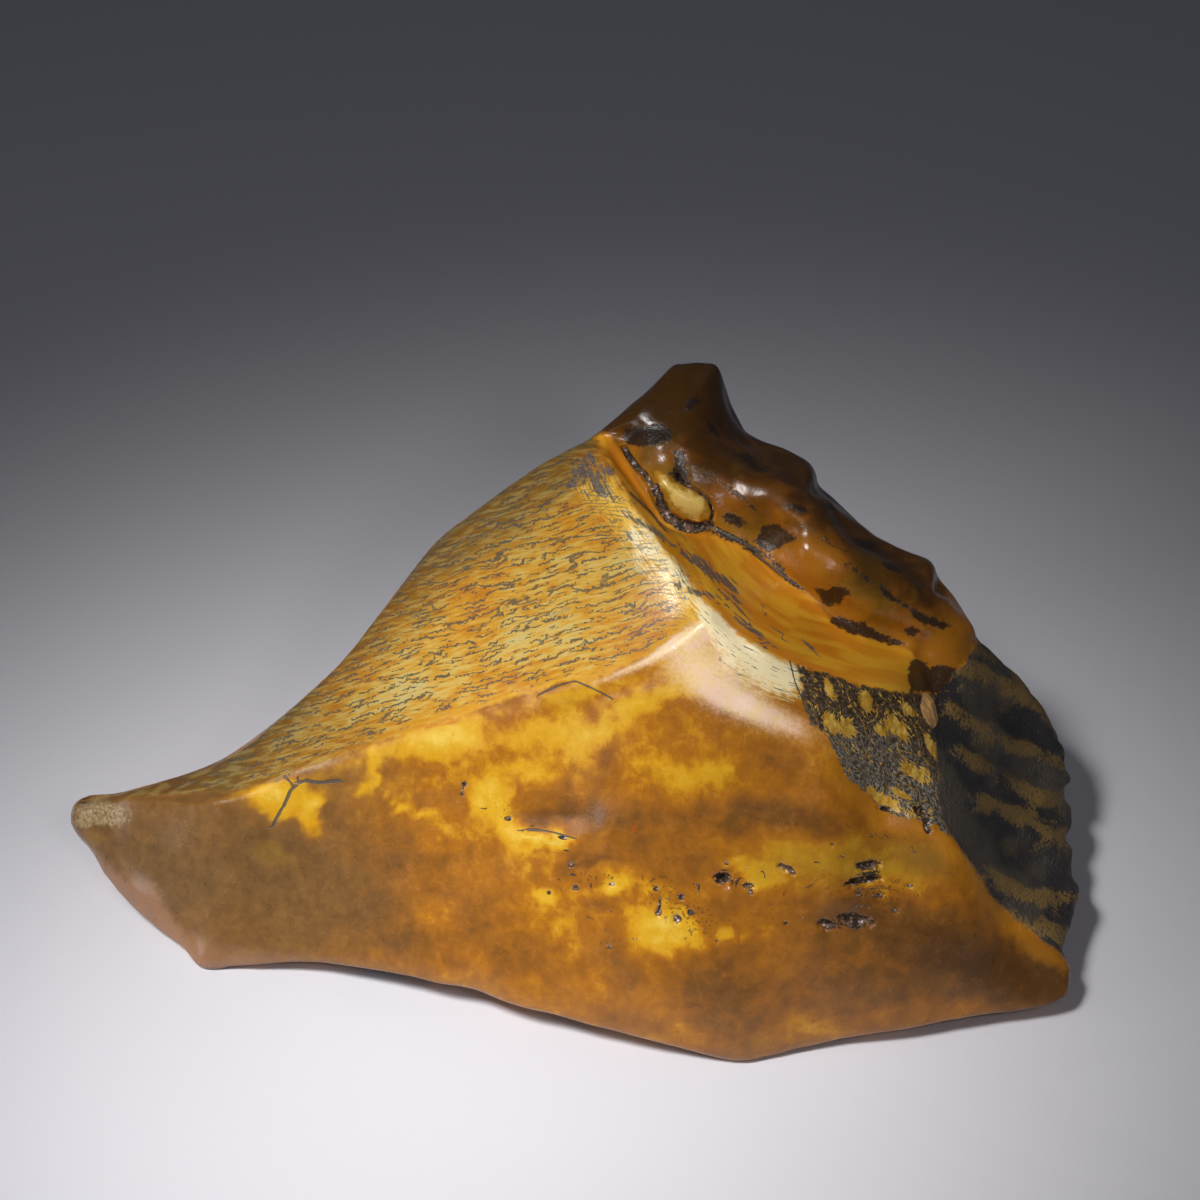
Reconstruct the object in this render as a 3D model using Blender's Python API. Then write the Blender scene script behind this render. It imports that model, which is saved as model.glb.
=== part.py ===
"""Raw Gobi agate: one wind-polished stone that lies on a flat flake scar.

The stone is a single solid. Its long lines (foot, front ridge, crest, valley, rind,
skyline and so on) run from the thin left tip to the wedge at the right end, and a loft
goes through them. The relief that the desert left on it is then pushed into the loft:
knobs and dents on the rind, ribs on the end face and a few deep pits in the front face.

Lengths below are in millimetres. +X is the long way, +Y goes back, +Z is up.
"""

import bmesh
import bpy
import numpy as np
from mathutils import Vector, noise

MM = 0.001
AGATE_COLOUR = (0.50, 0.22, 0.03, 1.0)
AGATE_ROUGHNESS = 0.35

# Long lines of the stone, each from the left tip to the right end, one point per station.
FRONT_FOOT = [
    (-46.9, -4.3, 3.9), (-41.8, -10.5, 2.2), (-33.2, -17.5, 0.2), (-23.2, -19.0, 2.0),
    (-13.1, -22.1, 3.0), (-2.7, -25.8, 3.0), (6.2, -28.4, 2.0), (15.1, -29.4, 0.2),
    (20.1, -28.0, 0.6), (24.6, -27.3, 1.2), (29.5, -26.9, 1.8), (34.9, -25.7, 2.0),
    (40.1, -24.6, 1.9), (44.7, -23.6, 2.5),
]
FRONT_RIDGE = [
    (-47.2, -4.0, 6.6), (-40.6, -5.6, 10.2), (-33.2, -9.1, 15.1), (-23.2, -9.2, 18.9),
    (-13.2, -9.6, 23.2), (-1.8, -11.8, 27.4), (5.7, -14.2, 30.8), (11.0, -15.8, 30.6),
    (16.7, -16.6, 29.6), (20.8, -17.2, 28.1), (27.1, -18.1, 20.0), (33.1, -18.9, 18.0),
    (38.7, -19.8, 9.2), (44.9, -20.6, 5.2),
]
UPPER_SLOPE = [
    (-47.1, -3.8, 7.0), (-40.1, -5.4, 10.6), (-32.4, -6.2, 15.0), (-22.4, -3.0, 19.5),
    (-12.4, -3.8, 25.4), (-1.8, -10.4, 29.6), (5.3, -11.2, 33.6), (11.3, -11.2, 36.7),
    (16.3, -13.3, 33.0), (22.0, -14.2, 29.5), (28.2, -14.4, 22.6), (32.8, -14.6, 18.6),
    (40.3, -13.2, 9.8), (45.6, -13.2, 4.3),
]
CREST = [
    (-46.9, -3.4, 7.1), (-39.3, -4.8, 10.8), (-31.7, -4.2, 14.5), (-22.1, 1.0, 20.5),
    (-11.9, 6.0, 31.0), (1.8, 7.6, 41.0), (5.1, 0.2, 40.5), (10.9, -8.5, 37.5),
    (16.8, -12.8, 34.0), (22.7, -12.0, 30.5), (29.5, -9.3, 26.0), (32.6, -10.6, 21.5),
    (42.0, -5.5, 10.0), (46.1, -7.5, 5.8),
]
VALLEY = [
    (-46.7, -3.0, 7.0), (-39.4, -3.9, 10.3), (-32.1, -2.8, 13.3), (-22.2, 2.7, 19.0),
    (-11.9, 8.5, 30.3), (2.8, 8.5, 41.0), (7.8, 2.6, 38.0), (14.3, 1.7, 34.5),
    (19.3, 0.2, 32.0), (23.7, -2.9, 29.0), (29.7, -3.1, 26.0), (33.1, -4.9, 23.0),
    (42.6, -0.2, 12.0), (46.6, -0.9, 7.2),
]
RIND = [
    (-46.6, -2.6, 6.6), (-39.2, -3.0, 9.4), (-32.0, -1.5, 12.1), (-22.3, 4.5, 17.4),
    (-11.9, 11.5, 28.0), (4.5, 9.6, 42.5), (9.4, 7.3, 42.0), (14.8, 6.1, 39.0),
    (20.1, 2.2, 37.0), (26.3, -0.7, 33.0), (32.4, -1.0, 28.0), (35.9, 0.5, 22.5),
    (41.9, 2.1, 14.8), (45.7, 2.0, 9.8),
]
SKYLINE = [
    (-46.5, -2.2, 6.0), (-39.0, -2.2, 8.2), (-32.0, 0.0, 10.5), (-22.5, 6.5, 15.0),
    (-11.5, 15.0, 24.0), (8.8, 17.0, 44.0), (12.8, 17.2, 43.3), (15.8, 15.2, 37.0),
    (21.8, 10.7, 35.4), (27.7, 6.1, 31.3), (33.7, 5.5, 27.5), (36.6, 3.5, 22.0),
    (41.2, 6.0, 14.7), (43.9, 4.4, 11.2),
]
BACK_FOOT = [
    (-46.2, -2.3, 4.7), (-39.0, -2.0, 3.5), (-31.0, 0.8, 2.0), (-20.0, 8.6, 1.5),
    (-8.0, 19.0, 1.0), (5.0, 26.0, 1.0), (16.0, 27.3, 1.0), (23.0, 24.6, 1.5),
    (28.5, 21.0, 1.0), (33.5, 17.0, 1.0), (37.4, 13.0, 1.5), (40.2, 9.8, 2.0),
    (42.5, 7.5, 2.5), (44.5, 4.0, 4.0),
]

# How far the front face bellies out between its foot and its ridge, station by station.
BELLY = [0.0, 0.4, 0.4, 0.0, 0.2, 0.7, 1.2, 1.6, 1.7, 1.7, 1.6, 1.2, 0.6, 0.2]
BACK_BELLY = 2.5  # how far the back bellies out
# Height of the underside, station by station: below 0 it is cut off flat.
UNDERSIDE = [4.3, 2.0, -0.4, -1.0, -1.0, -1.0, -1.0, -1.0, -1.0, -1.0, -1.0, -0.6, 0.6, 2.8]
UNDERSIDE_INSET = 0.3  # how far the underside lies inside the feet, as a share of the width
END_THICKNESS = (-0.8, 0.8, -2.3)  # from the top of the right end to its underside
TIP_BULGE = (-0.6, 0.0, 0.0)  # how far each end is rounded outward
END_BULGE = (0.3, 0.0, -0.2)

# Rings go round the stone: loft steps to the next line, and how sharp the line itself is.
STEPS_ROUND = [5, 5, 4, 5, 5, 6, 6, 7, 7, 7, 5, 5, 5]
SHARP_ROUND = [0.5, 0.0, 0.8, 0.6, 0.8, 0.3, 0.0, 0.3, 0.0, 0.0, 0.5, 0.3, 0.3]
GATHER = 0.6  # how far the loft steps gather at the lines
STEPS_ALONG = [4, 4, 4, 5, 5, 5, 4, 4, 4, 4, 5, 5, 5]
SHARP_ALONG = [0.0, 0.0, 0.6, 0.0, 0.0, 0.4, 0.5, 0.3, 0.0, 0.0, 0.3, 0.6, 0.0, 0.0]
FLOWING_LINES = (1, 2, 3, 4, 5)  # from belly to valley the lines turn softly at a station

# Relief: each form runs from one point to another and is pushed out by its height, or in
# where that is negative, over about its radius.
RIBS = [
    ((37.6, 1.2, 20.4), (45.6, 3.0, 11.2), 1.3, 1.2),
    ((35.8, -5.2, 19.3), (46.1, 0.1, 8.9), 1.4, 1.3),
    ((36.2, -8.2, 17.0), (46.1, -3.8, 7.2), 1.2, 1.1),
    ((37.0, -10.4, 14.4), (46.0, -7.4, 6.3), 1.2, 1.1),
    ((37.8, -16.6, 10.4), (45.4, -13.0, 4.8), 1.4, 1.2),
    ((40.0, -18.4, 7.9), (44.2, -18.0, 5.4), 1.2, 0.6),
    ((41.6, 6.6, 15.0), (44.0, 6.6, 11.5), 1.4, 0.7),
]
KNOBS = [
    ((21.0, 0.8, 34.2), (22.2, 0.4, 33.4), 2.4, 1.3),
    ((24.0, -1.0, 31.4), (26.0, -1.2, 30.0), 1.9, 1.0),
    ((15.0, 5.0, 38.6), (18.0, 4.4, 37.2), 2.6, 0.8),
    ((30.6, 5.6, 30.2), (31.6, 5.2, 29.2), 1.9, 0.6),
    ((35.4, 1.6, 24.6), (36.4, -0.4, 23.2), 2.3, 1.1),
    ((27.8, 1.6, 32.6), (29.4, 1.0, 31.6), 2.0, 0.8),
    ((7.4, 4.6, 39.4), (11.2, 3.2, 37.0), 1.5, 0.9),
    ((28.6, -17.9, 19.4), (30.2, -17.4, 18.8), 1.5, 0.5),
    ((44.2, -12.8, 5.2), (44.6, -12.0, 5.0), 1.9, 0.6),
    ((-1.8, -10.8, 29.0), (11.0, -11.4, 36.4), 1.3, 0.4),
    ((18.4, 12.4, 36.8), (20.4, 11.4, 36.2), 1.9, 0.8),
]
GROOVES = [
    ((4.1, 8.4, 41.4), (5.4, 5.6, 40.0), 1.1, -1.0),
    ((5.4, 5.6, 40.0), (8.0, 2.2, 38.0), 1.1, -1.0),
    ((8.0, 2.2, 38.0), (12.4, 2.2, 36.0), 1.1, -1.1),
    ((4.6, 9.2, 42.2), (9.4, 9.0, 41.8), 1.8, -0.9),
    ((8.8, 6.4, 41.0), (9.6, 4.4, 39.4), 1.0, -0.6),
    ((17.6, 2.0, 35.4), (18.4, 1.8, 35.0), 1.6, -0.7),
    ((22.8, -1.9, 30.8), (29.0, -2.5, 27.2), 1.2, -0.8),
    ((24.6, 3.8, 34.6), (30.4, 2.4, 30.4), 1.4, -0.7),
    ((32.0, -2.6, 26.8), (33.2, -4.4, 24.0), 1.3, -0.9),
    ((3.6, 9.8, 41.6), (0.6, 15.0, 37.6), 1.7, -0.8),
    ((23.4, 9.6, 34.8), (24.0, 9.2, 34.4), 1.7, -0.9),
    ((14.6, 15.8, 39.6), (14.8, 15.4, 38.8), 1.6, -0.8),
    ((33.4, 4.8, 27.8), (33.8, 4.2, 26.8), 1.5, -0.8),
    ((39.6, -12.8, 9.8), (42.4, -11.6, 7.4), 2.0, -0.9),
    ((31.6, -16.6, 18.2), (32.0, -16.6, 17.8), 1.1, -0.8),
    ((-33.2, -9.0, 13.4), (-33.0, -16.4, 1.6), 1.8, -0.5),
    ((-9.6, -23.2, 3.0), (-9.2, -23.2, 3.0), 1.3, -0.7),
    ((12.8, -22.8, 16.8), (13.4, -22.8, 16.8), 1.1, -0.5),
    ((24.8, -22.4, 17.0), (27.0, -22.0, 17.0), 1.0, -0.5),
    ((22.8, -24.4, 13.1), (25.4, -24.2, 13.1), 1.0, -0.4),
]
FLAKE_SCARS = [
    ((4.0, 17.0, 39.6), (-4.0, 16.4, 33.0), 4.8, -3.6),
    ((-6.0, 19.0, 12.0), (-2.0, 21.0, 9.0), 7.0, -1.6),
    ((11.0, 25.0, 26.0), (14.0, 27.0, 14.0), 7.5, -2.0),
    ((27.0, 18.0, 16.0), (30.0, 19.0, 8.0), 6.0, -1.4),
    ((-22.0, 7.0, 8.0), (-26.0, 5.0, 6.0), 5.0, -0.8),
    ((-20.0, -15.0, 10.0), (-24.0, -14.0, 9.0), 6.0, -0.4),
]
UNEVENNESS = ((11.0, 0.45), (4.5, 0.16))  # wavelength and height of the slight waves all over


def between(line_a, line_b, share):
    """The line that lies a share of the way from line_a to line_b."""
    return line_a + (line_b - line_a) * share


def shifted(line, direction, amounts):
    """A line moved along a direction by an amount for each station."""
    return line + np.reshape(amounts, (-1, 1)) * np.array(direction)


def long_lines():
    """Every long line in its order round the stone, as an array of lines by stations by 3."""
    foot, ridge, slope, crest, valley, rind, skyline, back_foot = map(
        np.array, (FRONT_FOOT, FRONT_RIDGE, UPPER_SLOPE, CREST, VALLEY, RIND, SKYLINE, BACK_FOOT)
    )
    belly = shifted(between(foot, ridge, 0.5), (0.0, -0.9, 0.45), BELLY)
    bulge = BACK_BELLY * np.sin(np.linspace(0.0, np.pi, len(foot)))
    back_shoulder = shifted(between(skyline, back_foot, 0.3), (0.0, 1.0, 0.2), bulge * 0.8)
    back_belly = shifted(between(skyline, back_foot, 0.65), (0.0, 1.0, 0.0), bulge)
    base_back = between(back_foot, foot, UNDERSIDE_INSET)
    base_front = between(foot, back_foot, UNDERSIDE_INSET)
    base_back[:, 2] = UNDERSIDE
    base_front[:, 2] = UNDERSIDE
    lines = np.array([
        foot, belly, ridge, slope, crest, valley, rind, skyline,
        back_shoulder, back_belly, back_foot, base_back, base_front,
    ])
    # At the right end the back lines lie just under the front ones, so that the loft closes there.
    for back, front in enumerate((rind, between(crest, valley, 0.6), slope, ridge, belly), 8):
        lines[back, -1] = front[-1] + END_THICKNESS
    return lines


def gathered(t):
    """Steps from 0 to 1, closer together towards both ends, where the edges are."""
    return t + GATHER * (3 * t**2 - 2 * t**3 - t)


def smooth_path(knots, steps, sharp, closed):
    """Points on a cubic path through the knots; a sharp knot breaks the path's direction."""
    ahead = np.roll(knots, -1, axis=0) - knots
    length = np.maximum(np.linalg.norm(ahead, axis=-1, keepdims=True), 1e-6)
    slope_out = ahead / length
    slope_in = np.roll(slope_out, 1, axis=0)
    length_in = np.roll(length, 1, axis=0)
    if not closed:
        slope_in[0] = slope_out[0]
        slope_out[-1] = slope_in[-1]
    tangent = (slope_in * length + slope_out * length_in) / (length + length_in)
    sharp = np.array(sharp)
    sharp = sharp.reshape(sharp.shape + (1,) * (knots.ndim - sharp.ndim))
    leaving = tangent + (slope_out - tangent) * sharp
    arriving = tangent + (slope_in - tangent) * sharp
    points = []
    for i, count in enumerate(steps):
        j = (i + 1) % len(knots)
        for t in gathered(np.arange(count) / count):
            points.append(
                (2 * t**3 - 3 * t**2 + 1) * knots[i]
                + (t**3 - 2 * t**2 + t) * length[i] * leaving[i]
                + (3 * t**2 - 2 * t**3) * knots[j]
                + (t**3 - t**2) * length[i] * arriving[j]
            )
    if not closed:
        points.append(knots[-1])
    return np.array(points)


def rings():
    """The loft's rings in millimetres, from the left tip to the right end."""
    lines = long_lines()
    sharp = np.array(SHARP_ALONG)[:, None] * np.ones(len(lines))
    sharp[:, FLOWING_LINES] *= 0.3
    along = smooth_path(np.swapaxes(lines, 0, 1), STEPS_ALONG, sharp, closed=False)
    loft = smooth_path(np.swapaxes(along, 0, 1), STEPS_ROUND, SHARP_ROUND, closed=True)
    loft = np.swapaxes(loft, 0, 1)
    return np.concatenate([[seam(loft[0], TIP_BULGE)], loft, [seam(loft[-1], END_BULGE)]])


def seam(ring, bulge):
    """A last ring, whose front half and back half lie on each other, a little further out."""
    return (ring + ring[-np.arange(len(ring))]) / 2 + bulge


def push(point, forms, taper):
    """How far the forms push the surface out at a point."""
    total = 0.0
    for start, end, radius, height in forms:
        start, end = Vector(start), Vector(end)
        axis = end - start
        along = min(max((point - start).dot(axis) / axis.length_squared, 0.0), 1.0)
        distance = (point - start - axis * along).length / radius
        if distance < 3.0:
            total += height * (1.0 - taper * (1.0 - along)) * np.exp(-distance * distance)
    return total


def relief(point):
    """Height of all the relief at a point of the loft."""
    height = push(point, RIBS, 0.6) + push(point, KNOBS + GROOVES + FLAKE_SCARS, 0.0)
    for wavelength, size in UNEVENNESS:
        height += size * noise.noise(point / wavelength)
    return height


def loft_mesh(name):
    """The closed loft as a mesh, in metres."""
    shape = bmesh.new()
    rows = [[shape.verts.new(point) for point in ring] for ring in rings()]
    count = len(rows[0])
    for row, following in zip(rows, rows[1:]):
        for i in range(count):
            j = (i + 1) % count
            shape.faces.new((row[i], row[j], following[j], following[i]))
    bmesh.ops.remove_doubles(shape, verts=shape.verts, dist=0.02)
    bmesh.ops.recalc_face_normals(shape, faces=shape.faces)
    shape.normal_update()
    moved = [vert.co + vert.normal * relief(vert.co) for vert in shape.verts]
    for vert, place in zip(shape.verts, moved):
        vert.co = (place.x, place.y, max(place.z, 0.0))
    centre_on_floor(shape)
    bmesh.ops.scale(shape, vec=(MM, MM, MM), verts=shape.verts)
    mesh = bpy.data.meshes.new(name)
    shape.to_mesh(mesh)
    shape.free()
    return mesh


def centre_on_floor(shape):
    """Put the middle of the stone's plan on the vertical axis."""
    places = np.array([vert.co for vert in shape.verts])
    middle = (places.min(axis=0) + places.max(axis=0)) / 2
    bmesh.ops.translate(shape, vec=(-middle[0], -middle[1], 0.0), verts=shape.verts)


def agate_material():
    """Waxy orange-brown agate."""
    material = bpy.data.materials.new("agate")
    material.use_nodes = True
    shader = material.node_tree.nodes["Principled BSDF"]
    shader.inputs["Base Color"].default_value = AGATE_COLOUR
    shader.inputs["Roughness"].default_value = AGATE_ROUGHNESS
    return material


def main():
    for old in list(bpy.data.objects):
        bpy.data.objects.remove(old)
    mesh = loft_mesh("agate")
    mesh.materials.append(agate_material())
    mesh.shade_smooth()
    stone = bpy.data.objects.new("agate", mesh)
    bpy.context.scene.collection.objects.link(stone)


main()
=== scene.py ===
"""Looks of the raw Gobi agate: its fine relief, its colours and its waxy desert polish.

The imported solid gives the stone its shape. A copy of it is rounded and worked over as a
carver would: pits in the front face, the cracked almond inset, lumps on the rind, flutes on
the end. Each region is then marked on the surface and one material colours them all.

Lengths are in millimetres. The side that shows is marked out on the marking plane: u runs
along the stone (+X) and v up a plane that leans back, which front and top both face.
"""

import math

import bmesh
import bpy
import numpy as np
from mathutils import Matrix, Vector, noise


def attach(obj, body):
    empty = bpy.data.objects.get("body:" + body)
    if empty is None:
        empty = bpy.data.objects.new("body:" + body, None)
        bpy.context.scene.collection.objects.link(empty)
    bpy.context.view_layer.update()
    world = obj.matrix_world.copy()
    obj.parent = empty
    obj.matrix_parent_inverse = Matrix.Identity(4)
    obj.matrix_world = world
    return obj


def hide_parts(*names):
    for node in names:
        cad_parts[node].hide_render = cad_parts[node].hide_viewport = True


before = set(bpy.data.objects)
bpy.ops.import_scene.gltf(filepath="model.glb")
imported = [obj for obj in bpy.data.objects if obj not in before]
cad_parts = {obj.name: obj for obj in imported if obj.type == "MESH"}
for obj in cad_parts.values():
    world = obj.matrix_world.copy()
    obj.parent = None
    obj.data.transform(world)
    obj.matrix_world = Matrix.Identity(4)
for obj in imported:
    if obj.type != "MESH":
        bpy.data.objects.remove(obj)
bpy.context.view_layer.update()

MM = 0.001
LEAN = math.radians(40.0)  # how far the marking plane leans back
UP_V = np.array([0.0, math.sin(LEAN), math.cos(LEAN)])
TO_VIEWER = np.array([0.0, -math.cos(LEAN), math.sin(LEAN)])
REACH = 8.0  # how far from an outline its distance is still measured
END_START, END_SMOOTHING = 44.2, 3  # the thin ends are rounded off beyond this distance
ROUNDING_LEVELS = 2
DETAIL_CUTS = 2  # how often the edges under the finest relief are cut
PIT_MARGIN, BRUSHED_MARGIN, CRACK_MARGIN = 0.9, 0.3, 1.1  # the fine mesh reaches this far out
# The ends' lower corners: middle, radius and side.
ROUND_CORNERS = [((42.2, -10.3), 3.0, 1.0), ((-43.7, 3.0), 3.2, -1.0)]
# The edge between front and upper face: u, its v on the solid, where it belongs, reach above.
EDGE_SLIDE = [
    (-47.5, 4.9, 4.2, 1), (-44, 4.8, 4.4, 0.8), (-41, 4.8, 4.7, 0.8), (-38, 5.6, 5.1, 0.8),
    (-35, 6.6, 5.35, 0.8), (-32, 7.4, 5.7, 1.4), (-29, 7.8, 6.3, 3), (-26, 7.8, 6.9, 5),
    (-23, 8.6, 8, 5), (-20, 10, 9.4, 5), (-17, 11.2, 10.6, 5), (-14, 11.9, 11.6, 5),
    (-8, 13.7, 13.5, 5), (-5, 14.9, 14.4, 5), (-2, 16.2, 15.3, 5), (1, 17.1, 16, 5),
    (4, 18.6, 16.8, 5), (7, 19.8, 18.3, 5), (10, 21.9, 21, 5), (12, 22.6, 22.6, 5),
]

# ---- Regions, outlined on the marking plane ------------------------------------------

UPPER_FACE = [
    (-70, 2), (-46.2, 4.6), (-42.4, 4.9), (-32.4, 5.8), (-26.3, 7), (-21.2, 9.1), (-14.8, 11.5),
    (-6.9, 14.1), (-0.5, 16.1), (3.2, 16.8), (6.5, 18.4), (8.8, 20.1), (10.4, 21.8), (10.6, 24),
    (8.7, 27), (5.9, 30.9), (3.5, 33.9), (2.4, 36.2), (1.6, 38), (-4, 44), (-70, 44),
]
BACK_BAND = [
    (1.8, 38), (2.8, 36.4), (5.9, 31), (8.7, 27.2), (11, 23.6), (14.5, 20), (18, 18.1),
    (19.8, 17.4), (25.2, 15.6), (30.4, 14.7), (31.6, 15.6), (31.4, 17.4), (30.6, 18.6),
    (29.1, 19.2), (26.2, 19.9), (23.2, 21.3), (21.9, 23), (20, 24.8), (18.2, 26.2), (16.2, 27.5),
    (13.4, 29), (9.8, 29.6), (7.2, 31.4), (4.6, 36), (3.3, 38.4),
]
BRUSHED_FACE = [
    (19.6, 17.6), (25.2, 15.7), (30.4, 14.8), (32.6, 14.9), (32.6, 11), (32.8, 6), (33.2, 2.4),
    (31.9, 3.4), (27.4, 4.7), (24, 7.8), (22.4, 11), (20.4, 12.9),
]
FLUTED_END = [
    (37, 19.6), (35.2, 17.4), (33.2, 15.4), (32.2, 14), (32.2, 11), (32.4, 6), (33, 2.8),
    (34.6, 0.9), (36.4, -1.9), (38.7, -4.7), (42, -7.4), (44.6, -8.9), (60, -9.4), (60, 40),
    (37.2, 26),
]
RIND = [
    (-4, 60), (2, 38.6), (3.3, 38.2), (4.6, 36), (7.2, 31.4), (9.8, 29.6), (13.4, 29),
    (16.2, 27.5), (18.2, 26.2), (20, 24.8), (21.9, 23), (23.2, 21.3), (26.2, 19.9), (29.1, 19.2),
    (30.6, 18.6), (31.6, 17.2), (32, 15), (33.4, 14.6), (35, 16.8), (37, 19.4), (37.2, 26),
    (60, 40), (60, 60),
]

CREAM_FACET = [
    (3.4, 34), (5.8, 31.3), (8.5, 28.4), (10.6, 26.4), (13.4, 23.4), (16.8, 19.9), (19.8, 18),
    (20.2, 16.6), (19, 15), (16.2, 15.6), (13.4, 17.6), (11.6, 20.2), (8.6, 23), (6.8, 25.6),
    (4.8, 28.4), (3, 30.4), (1.2, 32.2), (0.6, 33.6),
]

CREST_LINE = [
    (2.2, 37.4), (3.5, 33.9), (5.9, 30.7), (8.7, 27), (11, 23.4), (14.5, 19.8), (18, 17.9),
    (19.8, 17.3), (25.2, 15.6), (31, 14.2),
]
RIM_LINE = [
    (11.2, 22.1), (16.2, 15.5), (19.4, 12.4), (22.2, 10.7), (23.7, 7.5), (27.2, 4.3), (31.7, 3.2),
    (34.6, 0.6), (36.4, -2.2), (38.7, -5), (42, -7.7), (44.8, -9),
]
FRONT_EDGE = [
    (-46.2, 4.4), (-42.4, 4.7), (-32.4, 5.6), (-26.3, 6.8), (-21.2, 8.9), (-14.8, 11.3),
    (-6.9, 13.8), (-0.5, 15.8), (3.2, 16.5), (6.5, 18), (8.8, 19.7), (11.4, 22.2),
]
# The bevel under the left end, which gets a painted pink reflection of the floor.
UNDERCUT = [
    (-46.8, 2.6), (-44.4, -0.4), (-41.4, -2), (-39.2, -2.7), (-38.1, -3.8), (-36, -6.6),
    (-33.6, -10), (-34, -14), (-50, -8),
]

# ---- Stains: middle u, v, half-length, half-height, turn in degrees, strength ----------

YELLOW_STAINS = [
    (-26.3, 5.1, 3.6, 1.6, 4, 1.1), (-23.7, 3.1, 1.3, 1.8, -10, 1.1),
    (-18.2, 7.5, 2.8, 0.5, 69, 0.8), (-14.9, 4.7, 2.8, 0.6, -27, 0.9),
    (-11.2, 10.8, 3.6, 1.6, 16, 1.1), (-1.2, 11.4, 4.2, 1.4, 4, 1), (-7.4, 5.8, 1.6, 2.4, 8, 1.1),
    (-5.6, 2.8, 1.1, 1.4, 40, 0.9), (-4, 8.4, 2.2, 0.9, 0, 0.8), (0.8, 9.2, 1.5, 0.9, -12, 0.7),
    (-2.4, 2.4, 2.7, 0.5, -5, 1.4), (-4.2, 0.4, 2.5, 0.9, -10, 0.4),
    (3.4, -2.1, 2.7, 0.7, 12, 0.9), (7.2, -4.8, 3.4, 1.8, -45, 1.1),
    (10.4, -6.4, 1.8, 1.4, -50, 0.8), (13.8, -6.4, 1.2, 0.7, 0, 0.9),
    (-0.3, -5.8, 1.8, 0.9, -20, 0.35), (-2.6, -3, 1.3, 0.7, 0, 0.7),
    (-12.4, -5.2, 2.2, 1.6, -30, 0.6), (9.8, 8.4, 4.4, 1.6, -6, 0.6), (4.6, 13, 3, 0.8, 30, 0.5),
    (20.4, 0, 7.4, 2.2, -4, 0.35), (24.8, -8.3, 1.4, 0.7, 20, 0.5),
    (20.6, -14.8, 2.6, 0.9, 10, 0.35), (15, 18.4, 3, 1.2, -42, 0.9), (7.4, 15, 3, 0.9, 20, 0.8),
    (9.6, 17.6, 1.6, 1.8, 0, 0.7), (12.4, 18, 2, 1.6, -40, 0.9), (-44.2, 1.4, 1.4, 1.4, 0, 0.5),
    (10.2, -15.4, 2.6, 0.9, -14, 0.4), (15.6, -0.4, 2, 0.8, -20, 0.5),
    (-33.8, 0.4, 1.4, 2.4, -20, 0.3), (28.6, -1.4, 2.6, 1.2, -20, 0.4),
]
BROWN_STAINS = [
    (-38, -0.6, 7, 4.4, 6, 1), (-30, -4, 9, 5, 0, 0.8), (-44.6, -1, 3, 5, 0, 0.8),
    (-28, 2, 2, 1.3, -20, 0.8), (-18.6, -2, 8, 4.2, -4, 0.7), (-15, -7.6, 7, 2.4, -8, 0.6),
    (-21.4, 4, 1.2, 1.4, 0, 0.4), (0.4, 4.7, 4.4, 1, -4, 1.1), (-1.6, 6.9, 1.8, 0.6, 10, 0.5),
    (2.6, 9, 0.9, 1.7, -10, 0.8), (5.4, 2.2, 2, 1.3, -20, 0.6), (14, 4.3, 7, 1.5, 4, 1),
    (10.2, 0.5, 4, 1, 4, 0.7), (20.6, 4.2, 4.4, 1.3, -6, 0.7), (5.6, -3.3, 1.6, 1.1, 10, 1.4),
    (2, 0.5, 2.4, 0.8, 0, 0.8), (1.4, -3.4, 1, 0.8, 20, 0.6), (11.2, -9.4, 2.4, 2.4, 20, 0.8),
    (4.2, -8.8, 2.6, 1.8, -30, 0.7), (-8.6, -4.2, 3, 1.6, -14, 0.4),
    (-3.4, -8.8, 4.4, 1.6, -16, 0.5), (13.4, -3.4, 1.8, 1.1, 0, 0.6), (14, -13, 3.6, 4, 14, 0.9),
    (29.6, -6.4, 8, 2.8, -15, 1), (35.6, -9, 7, 3, -18, 1), (24, -11.4, 6, 2.4, -4, 1.1),
    (25, -3.6, 4, 1.4, 0, 0.5), (21, -6.6, 4, 1.2, -8, 0.5), (6, -14.4, 5, 1.4, -14, 0.5),
    (31, 1.2, 3.4, 1.6, -40, 0.6), (43.6, -10.6, 3.2, 3.2, 0, 1.2),
    (38.6, -11.6, 5, 2.4, -20, 0.8), (-4.8, 14, 2.6, 0.8, 20, 0.4), (18, 9, 3.4, 1.4, -30, 0.3),
]
RED_STAINS = [
    (5.2, 3.2, 0.6, 0.4, 0, 1), (-1.6, 2, 2.4, 0.4, 0, 0.3), (-10.6, 12.8, 0.7, 0.35, 20, 0.8),
    (-6.8, 14.6, 2.6, 0.25, 18, 0.8), (-5, 16.8, 2, 0.3, 22, 0.7), (1, 4.9, 1.6, 0.5, -40, 0.4),
    (-13.4, 11.9, 2.2, 0.3, 17, 0.8), (1, 2, 2, 0.3, 10, 0.5), (-24, 7.6, 2, 0.3, 12, 0.6),
    (8, -9.4, 1.2, 0.4, -60, 0.4), (21, 4.4, 3, 0.35, 0, 0.5), (-22.4, 5.6, 1, 0.5, 0, 0.4),
    (14.6, 6.6, 1.6, 0.3, 10, 0.4), (-34, 6.2, 3, 0.3, 8, 0.6),
]
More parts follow.
